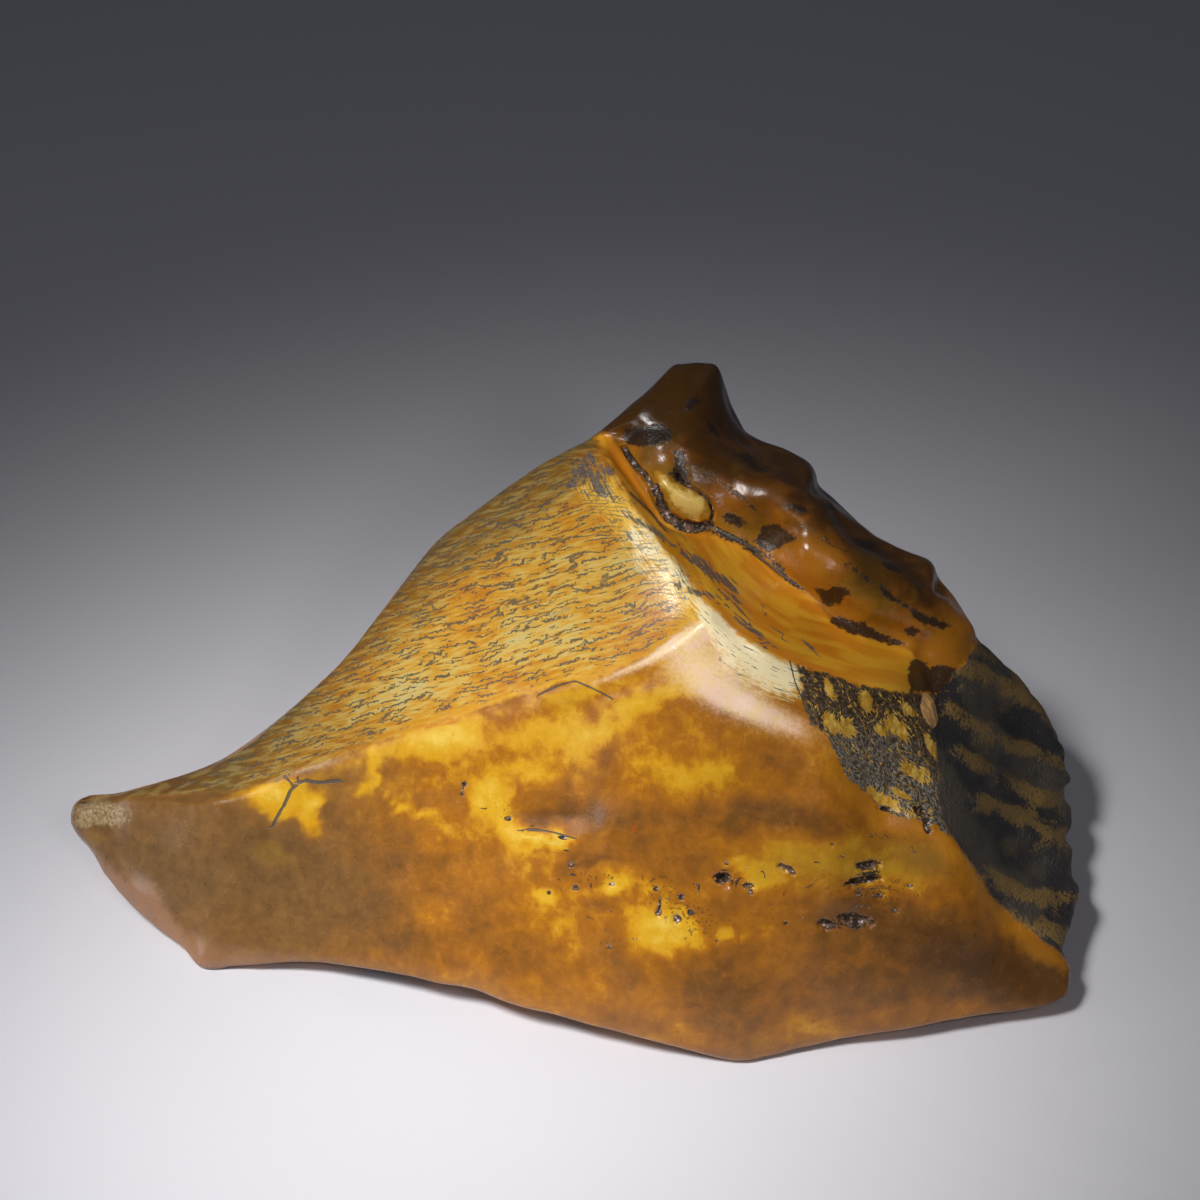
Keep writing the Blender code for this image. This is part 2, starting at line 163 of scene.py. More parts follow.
SMOKY_STAINS = [
    (-1.8, 4, 3.6, 0.6, -2, 1.1), (1.8, 0, 2.6, 0.45, 4, 0.9), (-0.4, -1, 1.6, 0.5, 6, 0.7),
    (8.6, -1.2, 2.8, 0.8, -6, 0.6), (15.6, 5.8, 4.4, 0.7, 6, 0.6), (22.4, 4.6, 3.6, 0.5, -6, 0.4),
    (-30.8, 3, 1.2, 0.8, -30, 0.5), (-25, -0.4, 4, 0.7, 10, 0.3), (30, -10.8, 6, 1.4, -10, 0.35),
    (18, -9, 5, 0.8, -30, 0.3),
]
# Pale patches. At the left tip they are wear; the band along the middle of the upper face is partly
# painted sheen.
PALE_AND_SHEEN_STAINS = [
    (-5, 19, 6, 1.6, 20, 0.9), (-14, 15.4, 8, 1.2, 19, 0.7), (-23, 11.4, 6, 0.8, 17, 0.5),
    (-33, 8.6, 6, 0.7, 15, 0.3), (3, 26.4, 3.4, 1, 14, 0.5), (-2, 30.4, 2.6, 0.7, 10, 0.5),
    (-44, 3.3, 3.2, 1.3, 6, 1.2), (10.4, 20.6, 1.8, 1.4, 0, 0.4),
]
OLIVE_STAINS = [
    (-44.2, 1.2, 1.3, 1.3, 0, 1), (22, 0.2, 8, 2.4, -2, 0.9), (30.4, 0.6, 4, 1.8, -10, 0.7),
    (-26.5, -0.6, 3.6, 1.6, 0, 0.4), (-34.6, 1.2, 3, 1.2, 0, 0.4), (16, -16.4, 3, 1.2, 10, 0.6),
    (0.8, 8, 3, 0.9, -8, 0.5), (-27.6, 0.6, 1.4, 1.2, -30, 0.7),
]

# ---- Black inclusions in the rind: middle u, v, half-length, half-height, turn ----------

INCLUSION_OUTLINES = [
    [(4.4, 38.5), (6, 39), (7.8, 38.9), (9, 38.3), (8.6, 37.4), (6.2, 36.9), (4.7, 37.4)],
    [(8.9, 36.6), (9.9, 36.4), (10.1, 34.9), (10.5, 33.7), (9.3, 33.6), (8.5, 34.6), (9.1, 35.4)],
    [
        (16.2, 28.6), (16.9, 29.9), (18.1, 30), (19, 29.4), (20, 28.7), (18.9, 28.2), (18.2, 27.6),
        (16.8, 27.8),
    ],
    [
        (21.6, 24.2), (22.6, 24.1), (23.4, 24.6), (24.8, 23.8), (24.2, 23.3), (23.9, 22.8),
        (22.6, 22.7),
    ],
    [
        (22.9, 21.3), (23.3, 21.8), (24.8, 21.5), (26, 21.3), (27.4, 20.3), (29.9, 19.4),
        (29, 19.1), (26.4, 19.9), (24.4, 20.4),
    ],
    [(30.1, 22.5), (32.1, 21.8), (34.3, 20.9), (33.4, 20.6), (31.6, 21), (30.6, 21.6)],
    [(27.2, 24.5), (28.5, 23.9), (30, 22.6), (29.2, 22.8), (28.1, 23.4)],
    [
        (29.9, 16.4), (30.3, 17.8), (31, 18), (32.1, 17.2), (33.4, 17.4), (34.6, 17), (34.2, 15.8),
        (33, 14.9), (31, 15), (30, 15.2),
    ],
    [(27.6, 26.8), (28.8, 26.4), (29.6, 25.5), (28.8, 25.7), (27.9, 26.2)],
]
INCLUSIONS = [
    (20, 31.4, 0.9, 0.35, -20), (26.6, 28.2, 1.1, 0.35, -22), (23.2, 31.6, 0.6, 0.3, -14),
    (16, 35.6, 1.7, 0.35, -34), (12.6, 38.6, 1, 0.35, -50), (16.6, 27.5, 1.3, 0.28, -20),
    (18.6, 25.9, 1.3, 0.22, -52), (20, 24.5, 0.8, 0.28, -30), (13.8, 28.9, 1.8, 0.3, -20),
    (22.6, 28.4, 0.9, 0.14, -30), (24.8, 26, 1.2, 0.14, -34), (15, 32.4, 1.4, 0.14, -38),
    (10.8, 41, 0.8, 0.4, 40), (30.4, 20.4, 0.6, 0.4, 0), (14.4, 30.4, 1, 0.5, -30),
]
# Slate-grey inclusions along the crest and in the band behind it.
BAND_STREAKS = [
    (5.2, 30.4, 1.5, 0.18, -30), (7.6, 29, 1.6, 0.24, -36), (12.2, 25.6, 2.4, 0.42, -40),
    (13.8, 24.5, 1, 0.4, -44), (11.2, 23.8, 1.6, 0.26, -12), (15.6, 20.7, 1.5, 0.3, -34),
    (20.9, 19.1, 1.1, 0.16, -42), (0.9, 34.6, 1, 0.5, -10), (2.3, 33.2, 1.2, 0.45, -14),
    (1.6, 35.9, 0.6, 0.4, -30), (0.2, 33.6, 0.8, 0.3, 10), (3, 34.6, 0.5, 0.6, -40),
    (10.2, 26.9, 1.2, 0.2, -44), (16.7, 19.1, 0.3, 0.22, -20), (14.6, 22.4, 1, 0.16, -50),
]
# Cream islands on the brushed face.
ISLANDS = [
    (22.5, 12.5, 1, 0.6, -62), (24, 12.1, 1, 0.75, -56), (25.7, 14.5, 1.3, 0.5, -70),
    (28.6, 12, 1.6, 0.7, -44), (27, 11.8, 0.7, 0.4, -50), (30.3, 8, 1.7, 0.7, -28),
    (31.9, 10.2, 1.3, 0.4, -62), (22.4, 15.4, 1, 0.36, -66), (29.6, 13.6, 0.8, 0.5, -50),
    (27.4, 5.6, 1.8, 0.5, -34), (30.2, 4.6, 0.7, 0.5, 0), (28.8, 6.2, 1, 0.35, -30),
]
PALE_KNOB = [(31.8, 13.3, 0.8, 1.5, 14)]
ORANGE_BLOB = [(8.8, 28.0, 1.7, 0.75, -36)]
# Painted sheen: a pale pink highlight painted on the small facets under the crest and along the
# right end of the front edge.
PAINTED_SHEEN_OVALS = [
    (15.4, 13.9, 4.4, 1, -23, 1.3), (9.8, 19.4, 2, 2.4, 0, 0.6), (12.6, 16.8, 3.2, 1.9, -30, 0.8),
    (11.4, 20.4, 1, 0.8, 0, 0.6), (8.6, 19.5, 2.4, 0.3, 34, 1), (4.8, 17.2, 2.6, 0.3, 24, 0.8),
]
# Where dark specks gather.
PEPPERED = [
    (2, -1.2, 2.6, 0.8, 4, 1), (7.6, -1.6, 1.6, 1.6, 0, 0.9), (10.6, -4.4, 2.6, 1.8, 0, 0.9),
    (3.2, -6.4, 3, 1.8, -20, 0.6), (25.4, -2.4, 3.4, 1.8, 0, 1), (25, -5, 3, 1, 0, 0.7),
    (-6.2, 5, 1.8, 1.4, 50, 0.6), (12, -8, 3, 2, 0, 0.5), (31, -2.6, 3, 1, 0, 0.4),
    (-3.2, 2.8, 2.6, 0.8, 0, 0.5), (-12, -4, 3, 2, 0, 0.4), (15, 17.6, 2.4, 0.8, -10, 0.9),
    (18.6, 15.2, 1.4, 2, 30, 0.7), (13, 18.6, 2, 0.6, 0, 0.6),
]

# ---- Carved relief ---------------------------------------------------------------------

# Pits in the front face: u, v, half-length, half-height, turn, depth.
PITS = [
    (13.1, -1.1, 0.85, 0.55, -6, 0.9), (25.9, 0, 1.2, 0.42, 4, 0.75),
    (25.5, -1.35, 1.7, 0.44, 8, 0.8), (24.8, -4.9, 1.5, 0.65, -8, 0.65),
    (22.2, -5.2, 0.75, 0.45, -24, 0.5), (18.4, 0, 0.75, 0.26, -14, 0.4),
    (19.2, -0.5, 0.4, 0.22, -30, 0.3), (26.9, -2.7, 0.5, 0.2, 0, 0.25),
    (25.1, -2.5, 0.34, 0.26, 0, 0.25), (15.4, -1.7, 0.5, 0.26, -10, 0.4),
    (30.6, 4.6, 0.8, 0.5, -10, 0.45), (31.2, 3.4, 0.36, 0.8, 10, 0.5),
    (27.6, 4.9, 0.7, 0.26, -10, 0.25), (28.4, -4.1, 0.4, 0.16, 0, 0.2),
    (7.5, -4.2, 0.36, 0.34, 0, 0.35), (9.1, -4.7, 0.42, 0.36, 30, 0.4),
    (7.6, -3.4, 0.14, 0.7, -8, 0.2), (9.5, -2.8, 0.3, 0.26, 0, 0.3),
    (10.3, -4.1, 0.26, 0.24, 0, 0.25), (7.3, -2, 0.26, 0.24, 0, 0.25),
    (-0.2, 0, 0.26, 0.24, 0, 0.25), (0.2, -2.1, 0.28, 0.24, 0, 0.3),
    (3.2, -7.4, 0.3, 0.22, 0, 0.25), (-9.7, 6.9, 0.24, 0.26, 0, 0.2),
    (-9.9, 6, 0.17, 0.17, 0, 0.15), (13.4, 0.3, 0.22, 0.18, 0, 0.2),
    (15.6, -2.3, 0.26, 0.2, 0, 0.2), (29.6, -1.9, 0.36, 0.12, 0, 0.15),
    (-5.8, 3.9, 0.3, 0.2, 0, 0.15), (-2.1, -2.6, 0.2, 0.18, 0, 0.15),
    (3.4, -1.7, 0.3, 0.18, 0, 0.2), (-0.8, 2.3, 0.4, 0.16, -10, 0.15),
    (22.6, 2, 0.2, 0.16, 0, 0.15), (12.6, -6.6, 0.16, 0.16, 0, 0.12),
    (18.6, -5, 0.2, 0.16, 0, 0.12),
]
# The almond inset's outline.
ALMOND = [
    (7.1, 34.7), (7.6, 33.6), (8.3, 32.5), (8.6, 31.4), (9.8, 30.6), (11.1, 30.3), (12.1, 30.4),
    (12.35, 31.5), (11.8, 32.5), (10.6, 33.1), (9.8, 33.5), (8.7, 33.8), (8.1, 34.5), (7.5, 35),
]
# The wide crack round the almond and the thin cracks: path, half-width.
ALMOND_CRACKS = [
    ([(4.6, 37.0), (5.2, 35.8), (6.3, 34.4), (7.2, 33.1)], 0.22),
    ([(7.2, 33.1), (7.8, 31.8), (8.4, 30.7), (9.8, 29.9), (11.3, 29.7), (12.3, 29.9)], 0.36),
    ([(12.3, 29.9), (12.6, 31.0), (12.2, 32.2), (11.2, 33.0), (9.9, 33.7), (9.4, 34.4)], 0.13),
]
THIN_CRACKS = [
    ([(-21.0, 7.0), (-22.7, 6.8), (-24.4, 7.0), (-25.4, 6.2), (-26.1, 4.7), (-27.2, 2.9)], 0.15),
    ([(-26.0, 7.3), (-25.2, 6.5)], 0.12),
    ([(-3.0, 14.9), (-1.4, 15.7), (0.2, 16.2), (1.8, 15.5), (3.4, 14.7)], 0.08),
    ([(-5.6, 2.7), (-3.6, 3.0), (-1.8, 2.8), (0.2, 2.3)], 0.07),
    ([(16.2, 27.4), (18.0, 26.0), (19.9, 24.6)], 0.16),
    ([(12.9, 29.6), (14.4, 28.8), (16.4, 27.7)], 0.2),
    ([(9.0, 24.6), (9.6, 24.9), (9.4, 24.3)], 0.1),
    ([(18.9, 17.9), (19.3, 16.2), (20.3, 13.8)], 0.07),
    ([(5.2, 32.6), (7.0, 31.0), (8.2, 29.4)], 0.14),
]
# The ribs' crests on the fluted end.
FLUTES = [
    ((37.0, 19.0), (41.4, 16.6), (44.6, 13.4)),
    ((34.8, 17.0), (37.0, 16.8), (42.7, 13.9), (46.2, 10.7)),
    ((34.4, 13.4), (35.9, 12.2), (40.4, 9.8), (46.8, 7.6)),
    ((34.6, 9.6), (38.1, 7.6), (43.1, 4.9), (46.4, 5.0)),
    ((36.4, 5.3), (40.8, 3.5), (46.6, 0.9)),
    ((36.6, -1.4), (40.8, -3.4), (46.0, -4.2)),
    ((39.2, -4.8), (44.6, -7.2)),
]
# Soft swellings and dents: u, v, half-length, half-height, turn, height.
SWELLINGS = [
    (2.8, 3.3, 1.7, 1.6, 0, 0.35), (-1.6, 4.3, 3.6, 0.8, -4, -0.35),
    (-2.8, 2.3, 2.8, 0.5, -6, 0.2), (29.6, 5.1, 1.6, 0.7, -24, 0.4), (5.6, 6.6, 3, 1.4, 10, -0.2),
    (9, 9.4, 5, 2, -10, 0.2), (-8, 9.6, 3, 1.6, 20, 0.16), (-13, 7, 3, 1.4, -30, -0.14),
    (15.6, 6.6, 5, 1, 6, -0.2), (-19.6, 6.2, 0.5, 3.6, -22, 0.16), (-32.4, 5, 0.8, 0.7, 0, 0.3),
    (-37.6, 0.4, 3, 2.4, 0, 0.2), (20.6, 27.6, 1.5, 0.9, -20, 0.3),
    (22.4, 25.6, 1.4, 0.8, -30, 0.26), (24.2, 26.6, 1.8, 1, -30, 0.2),
    (26.4, 22.3, 1.6, 0.8, -30, 0.25), (30, 23.8, 1.2, 0.9, -40, 0.2),
    (31.6, 20.6, 1.3, 0.8, -30, 0.25), (33.6, 18.8, 1.3, 1.3, 0, 0.3),
    (15.2, 36.6, 1.4, 0.7, -40, 0.2), (18.6, 33.4, 1.6, 0.7, -40, 0.2),
    (31.8, 13.3, 0.7, 1.3, 14, 0.25), (6.2, 35.4, 0.6, 0.5, 0, 0.15),
    (45.8, -3.9, 1.2, 1.1, 0, 0.9), (45.3, -8.4, 1.2, 0.9, 0, -0.8),
    (-33.8, -9.8, 1.6, 1.6, 0, 0.8), (-40.4, -3.6, 3.6, 1.4, -42, 0.5), (-45.2, 3, 2, 2.6, 0, 0.7),
    (20.8, 34.8, 1.2, 0.9, -40, 0.7), (22, 33.2, 0.9, 0.7, -40, -0.5),
    (32, 26, 1.3, 0.9, -40, 0.7), (33.3, 24.4, 0.9, 0.7, -40, -0.5),
]

NET_TURN, STROKE_TURN = 17.0, -58.0  # degrees from the u axis


# ---- Measuring on the marking plane ------------------------------------------------------


def step(value, low, high):
    """A soft step from 0 at low to 1 at high."""
    t = np.clip((value - low) / (high - low), 0.0, 1.0)
    return t * t * (3.0 - 2.0 * t)


def segments(path):
    """Where every segment of a path starts and where it goes from there."""
    starts, ends = np.array(path[:-1]), np.array(path[1:])
    return starts, ends - starts


def segment_distances(marks, path):
    """Distance from every mark to every segment of a path."""
    starts, along = segments(path)
    away = marks[:, None, :] - starts
    share = np.clip((away * along).sum(-1) / (along**2).sum(-1), 0.0, 1.0)
    return np.linalg.norm(away - share[..., None] * along, axis=-1)


def line_distance(marks, path):
    """Distance from every mark to a path."""
    return segment_distances(marks, path).min(axis=1)


def line_along(marks, path):
    """How far along a path the place nearest to every mark is."""
    starts, along = segments(path)
    length = np.linalg.norm(along, axis=1)
    nearest = segment_distances(marks, path).argmin(axis=1)
    away = marks - starts[nearest]
    share = np.clip((away * along[nearest]).sum(-1) / length[nearest] ** 2, 0.0, 1.0)
    return (np.cumsum(length) - length)[nearest] + share * length[nearest]


def line_side(marks, path):
    """Distance to a path, negative on its right-hand side."""
    starts, along = segments(path)
    nearest = segment_distances(marks, path).argmin(axis=1)
    away = marks - starts[nearest]
    cross = along[nearest, 0] * away[:, 1] - along[nearest, 1] * away[:, 0]
    across = cross / np.linalg.norm(along[nearest], axis=1)
    distance = line_distance(marks, path)
    return np.where(across < 0.0, -distance, distance)


def depth_inside(marks, outline):
    """How deep every mark lies inside a closed outline; negative outside it."""
    closed = list(outline) + [outline[0]]
    starts, ends = np.array(closed[:-1]), np.array(closed[1:])
    (run, rise), (u, v) = (ends - starts).T, (marks[:, :1], marks[:, 1:])
    spans = (starts[:, 1] > v) != (ends[:, 1] > v)
    crossing = starts[:, 0] + (v - starts[:, 1]) * run / np.where(rise == 0.0, 1.0, rise)
    inside = (spans & (u < crossing)).sum(axis=1) % 2 == 1
    distance = line_distance(marks, closed)
    return np.clip(np.where(inside, distance, -distance), -REACH, REACH)


def oval_place(marks, middle_u, middle_v, half_length, half_height, turn=0.0):
    """Where every mark lies from the middle of an oval, as shares of its two radii."""
    cos, sin = math.cos(math.radians(turn)), math.sin(math.radians(turn))
    u, v = marks[:, 0] - middle_u, marks[:, 1] - middle_v
    return np.stack([(u * cos + v * sin) / half_length, (v * cos - u * sin) / half_height], axis=1)


def oval_radius(marks, *oval):
    """Distance from the middle of an oval, as a share of its radius."""
    return np.linalg.norm(oval_place(marks, *oval), axis=1)


def nearest_oval(marks, ovals):
    """Where every mark lies from the oval that it is nearest to, as shares of its radii.

    The place changes evenly between vertices, so the material can draw an oval much finer
    than the mesh.
    """
    place = np.full((len(marks), 2), REACH)
    nearest = np.full(len(marks), 1e9)
    for oval in ovals:
        here = oval_place(marks, *oval[:5])
        gap = (np.linalg.norm(here, axis=1) - 1.0) * min(oval[2:4])
        place = np.where((gap < nearest)[:, None], here, place)
        nearest = np.minimum(gap, nearest)
    return np.clip(place, -4.0 * REACH, 4.0 * REACH)


def stain(marks, stains, sharpness=3):
    """How strongly a list of oval stains colours every mark."""
    total = np.zeros(len(marks))
    for *oval, strength in stains:
        total += strength * np.exp(-0.8 * oval_radius(marks, *oval) ** sharpness)
    return total


def waves(points, wavelength, octaves=1):
    """Smooth random waves between about -1 and 1 at every point."""
    scaled = points / wavelength
    return np.array([noise.fractal(Vector(p), 0.9, 2.1, octaves) for p in scaled])


# ---- The stone's mesh --------------------------------------------------------------------


def rounded_copy(node):
    """The solid's mesh, its loose triangles joined and its surface rounded and refined."""
    shape = bmesh.new()
    shape.from_mesh(node.data)
    bmesh.ops.remove_doubles(shape, verts=shape.verts, dist=0.001 * MM)
    bmesh.ops.join_triangles(
        shape, faces=shape.faces, angle_face_threshold=math.pi, angle_shape_threshold=math.pi
    )
    ends = [vert for vert in shape.verts if abs(vert.co.x) > END_START * MM]
    for _ in range(END_SMOOTHING):
        bmesh.ops.smooth_vert(
            shape, verts=ends, factor=0.5, use_axis_x=True, use_axis_y=True, use_axis_z=True
        )
    coarse = bpy.data.meshes.new("coarse_stone")
    shape.to_mesh(coarse)
    shape.free()
    rough_stone = bpy.data.objects.new("coarse_stone", coarse)
    bpy.context.scene.collection.objects.link(rough_stone)
    smoothing = rough_stone.modifiers.new("smoothing", "SUBSURF")
    smoothing.levels = smoothing.render_levels = ROUNDING_LEVELS
    depsgraph = bpy.context.evaluated_depsgraph_get()
    mesh = bpy.data.meshes.new_from_object(rough_stone.evaluated_get(depsgraph))
    bpy.data.objects.remove(rough_stone)
    refine_details(mesh)
    return mesh


def refine_details(mesh):
    """Divide the faces that carry the finest relief."""
    shape = bmesh.new()
    shape.from_mesh(mesh)
    middles = np.array([face.calc_center_median() for face in shape.faces]) / MM
    facing = np.array([face.normal for face in shape.faces]) @ TO_VIEWER
    marks = np.stack([middles[:, 0], middles @ UP_V], axis=1)
    to_pits = [oval_radius(marks, *pit[:5]) * min(pit[2:4]) for pit in PITS]
    to_cracks = [line_distance(marks, path) for path, _ in ALMOND_CRACKS]
    fine = np.min(to_pits, axis=0) < PIT_MARGIN
    fine |= depth_inside(marks, BRUSHED_FACE) > -BRUSHED_MARGIN
    fine |= np.min(to_cracks, axis=0) < CRACK_MARGIN
    fine &= facing > 0.15
    edges = {edge for face, wanted in zip(shape.faces, fine) if wanted for edge in face.edges}
    bmesh.ops.subdivide_edges(shape, edges=list(edges), cuts=DETAIL_CUTS, use_grid_fill=True)
    shape.to_mesh(mesh)
    shape.free()


class Surface:
    """The stone's vertices, with where each lies on the marking plane."""

    def __init__(self, mesh):
        self.mesh = mesh
        self.measure()
        self.lower_front_edge()
        self.measure()

    def measure(self):
        """Take the vertices' places and which way each looks."""
        count = len(self.mesh.vertices)
        places, normals = np.empty(count * 3), np.empty(count * 3)
        self.mesh.vertices.foreach_get("co", places)
        self.mesh.vertices.foreach_get("normal", normals)
        self.points = places.reshape(-1, 3) / MM
        self.normals = normals.reshape(-1, 3)
        self.marks = np.stack([self.points[:, 0], self.points @ UP_V], axis=1)
        self.facing = self.normals @ TO_VIEWER
        self.shown = step(self.facing, -0.05, 0.2)

    def keep(self):
        """Write the vertices' places back, none of them below the floor."""
        self.points[:, 2] = np.maximum(self.points[:, 2], 0.0)
        self.mesh.vertices.foreach_set("co", (self.points * MM).ravel())
        self.mesh.update()

    def lower_front_edge(self):
        """Slide the edge between the front and upper faces down to where it belongs."""
        u, v = self.marks.T
        table = np.array(EDGE_SLIDE).T
        old, new, above = (np.interp(u, table[0], row) for row in table[1:])
        rise = v - old
        share = np.where(rise > 0.0, np.clip(1.0 - rise / above, 0.0, 1.0), step(rise, -5.0, 0.0))
        self.points += ((new - old) * share * self.shown)[:, None] * UP_V
        self.keep()

    def round_corner(self, middle, size, side):
        """Round the lower corner of an end off around a middle."""
        away = self.marks - np.array(middle)
        radius = np.maximum(np.linalg.norm(away, axis=1), 0.01)
        in_corner = (away[:, 0] * side > 0.0) & (away[:, 1] < 0.0)
        weight = np.where(in_corner, -2.0 * side * away[:, 0] * away[:, 1] / radius**2, 0.0)
        past = np.clip(radius - 0.7 * size, 0.0, None)
        kept = 0.35 * size * (1.0 - np.exp(-past / (0.35 * size)))
        pull = weight * (kept - past) / radius
        self.points[:, 0] += away[:, 0] * pull
        self.points += (away[:, 1] * pull)[:, None] * UP_V

    def raise_by(self, height):
        """Push every vertex out along its normal."""
        self.points = self.points + self.normals * height[:, None]
        self.keep()

    def mark(self, name, values):
        """Keep a value for every vertex, which the material reads by this name."""
        layer = self.mesh.attributes.new(name, "FLOAT", "POINT")
        layer.data.foreach_set("value", np.asarray(values, dtype=np.float32))

    def mark_place(self, name, *axes):
        """Keep a place on a pattern for every vertex."""
        axes = list(axes) + [np.zeros(len(self.points))] * (3 - len(axes))
        layer = self.mesh.attributes.new(name, "FLOAT_VECTOR", "POINT")
        layer.data.foreach_set("vector", np.stack(axes, axis=1).astype(np.float32).ravel())


def wave_layers(points, *layers):
    """Waves on waves: each layer has a wavelength, a number of octaves and a height."""
    return sum(height * waves(points, size, octaves) for size, octaves, height in layers)


def pit_depths(surface):
    """How deep the pits of the front face go at every vertex."""
    ragged = 1.0 + 0.4 * waves(surface.points, 0.6, 2)
    depth = np.zeros(len(surface.points))
    for *oval, deep in PITS:
        radius = oval_radius(surface.marks, *oval) * ragged
        depth = np.maximum(depth, deep * (1.0 - step(radius, 0.4, 1.15)))
    return depth * surface.shown


def flute_crests(surface):
    """1 on the crests of the fluted end and 0 between them."""
    nearest = np.min([line_distance(surface.marks, path) for path in FLUTES], axis=0)
    wobble = 0.35 * waves(surface.points, 2.2, 2)
    return 1.0 - step(nearest + wobble, 0.25, 1.35)


def inclusion_depths(marks):
    """How deep every mark lies inside the nearest black inclusion; negative outside."""
    depths = [depth_inside(marks, outline) for outline in INCLUSION_OUTLINES]
    depths += [(1.0 - oval_radius(marks, *oval)) * min(oval[2:4]) for oval in INCLUSIONS]
    return np.max(depths, axis=0)


def carve(surface):
    """Cut the fine relief into the stone and keep what the material needs to know of it."""
    marks, shown, points = surface.marks, surface.shown, surface.points
    facing = surface.facing
    rind = step(depth_inside(marks, RIND), -0.6, 0.8) * shown
    back = 1.0 - step(facing, -0.35, 0.05)
    fluted = step(depth_inside(marks, FLUTED_END), -0.4, 0.6) * step(facing, -0.5, -0.2)
    brushed = step(depth_inside(marks, BRUSHED_FACE), -0.2, 0.5) * shown
    crests = flute_crests(surface)
    crack = np.min([line_distance(marks, path) / width for path, width in ALMOND_CRACKS], axis=0)
    crack = (1.0 - step(crack + 0.4 * waves(points, 0.6, 2), 0.5, 1.6)) * shown
    almond_depth = depth_inside(marks, ALMOND)
    almond = step(almond_depth, -0.1, 0.9) * shown
    inclusions = np.where(shown > 0.5, inclusion_depths(marks), -REACH * (1 - shown))
    lumps = np.zeros(len(marks))
    for *oval, swelling in SWELLINGS:
        lumps += swelling * np.exp(-oval_radius(marks, *oval) ** 2)

    height = -pit_depths(surface) - 0.8 * crack + 0.35 * almond
    height += lumps * step(facing, -0.7, -0.3)
    height += rind * wave_layers(points, (4.0, 2, 0.26), (1.3, 2, 0.05))
    height -= rind * 0.1 * step(inclusions, -0.3, 0.4)
    height += back * wave_layers(points, (5.0, 2, 0.3), (1.6, 2, 0.08))
    # The ribs stand up on the end's face and leave notches in its outline.
    on_face = step(marks[:, 0], 46.6, 43.0)
    height += fluted * (on_face * (0.35 * crests - 0.15) + wave_layers(points, (1.1, 3, 0.07)))
    height -= 0.6 * (1.0 - on_face) * fluted * crests
    height += brushed * wave_layers(points, (0.8, 3, 0.1), (0.3, 2, 0.03))
    height += (1.0 - rind) * wave_layers(points, (4.0, 2, 0.06))
    for corner in ROUND_CORNERS:
        surface.round_corner(*corner)
    surface.raise_by(height)

    surface.mark("crack", crack)
    surface.mark("almond", almond_depth * shown - (1 - shown))
    surface.mark("flute", crests)
    surface.mark("inclusion", inclusions)
    on_upper = step(depth_inside(marks, UPPER_FACE), -0.5, 0.5)
    surface.mark("hidden", 1.0 - step(facing - 0.3 * on_upper, -0.3, 0.08))


def turned(u, v, degrees):
    """Places along and across a direction on the marking plane."""
    cos, sin = math.cos(math.radians(degrees)), math.sin(math.radians(degrees))
    return u * cos + v * sin, v * cos - u * sin


def shifted_waves(points, shifts, wavelength, octaves):
    """Several waves that have nothing to do with each other, one to a column."""
    return np.stack([waves(points + shift, wavelength, octaves) for shift in shifts], axis=1)


def mark_regions(surface):
    """Mark how deep every vertex lies in each region, and the nearest oval of each kind."""
    for name, outline in (
        ("upper", UPPER_FACE), ("cream", CREAM_FACET), ("band", BACK_BAND), ("rind", RIND),
        ("brushed", BRUSHED_FACE), ("fluted", FLUTED_END),
    ):
        surface.mark(name, depth_inside(surface.marks, outline))
    for name, ovals in (
        ("nearest_pit", PITS), ("nearest_streak", BAND_STREAKS), ("nearest_island", ISLANDS),
        ("nearest_blob", ORANGE_BLOB), ("nearest_knob", PALE_KNOB),
    ):
        surface.mark_place(name, *nearest_oval(surface.marks, ovals).T)


def mark_stains(surface, clouds, front_edge):
    """Mark how strongly the stains colour every vertex. Their outlines swirl a little."""
    marks, points = surface.marks, surface.points
    u, v = marks.T
    depth = -(points @ TO_VIEWER)
    stretched = np.stack([u * 0.45 + v * 0.12, v - u * 0.08, depth * 0.6], axis=1)
    drift = shifted_waves(points, (0.0, 31.0, 67.0), 4.5, 2)
    wisps = waves(stretched + 1.3 * drift, 2.2, 4)
    surface.mark("clouds", clouds)
    surface.mark("wisps", wisps)
    unrest = 0.3 * clouds + 0.7 * wisps
    swirled = marks + 0.9 * shifted_waves(points, (12.0, 47.0), 2.6, 3)
    edge_glow = np.exp(-(((front_edge + 0.6) / 0.9) ** 2)) * step(u, -33.0, -26.0)
    warmth = 0.5 + 0.3 * stain(swirled, YELLOW_STAINS) - 0.27 * stain(swirled, BROWN_STAINS, 2)
    warmth += 0.1 * edge_glow
    surface.mark("warmth", warmth + 0.13 * unrest)
    for name, stains, share in (
        ("red", RED_STAINS, 0.3), ("smoky", SMOKY_STAINS, 0.15), ("olive", OLIVE_STAINS, 0.3)
    ):
        surface.mark(name, stain(swirled, stains, 2) + share * unrest)
    # The sheen ovals are a painted highlight, not a stain; the pale stains are partly painted
    # sheen.
    for name, stains in ("pale", PALE_AND_SHEEN_STAINS), ("painted_sheen", PAINTED_SHEEN_OVALS), ("peppered", PEPPERED):
        surface.mark(name, stain(marks, stains, 2))
    surface.mark("undercut", depth_inside(marks, UNDERCUT))
    surface.mark("back_patches", waves(points + 90.0, 5.0, 4) + 0.3 * wisps)


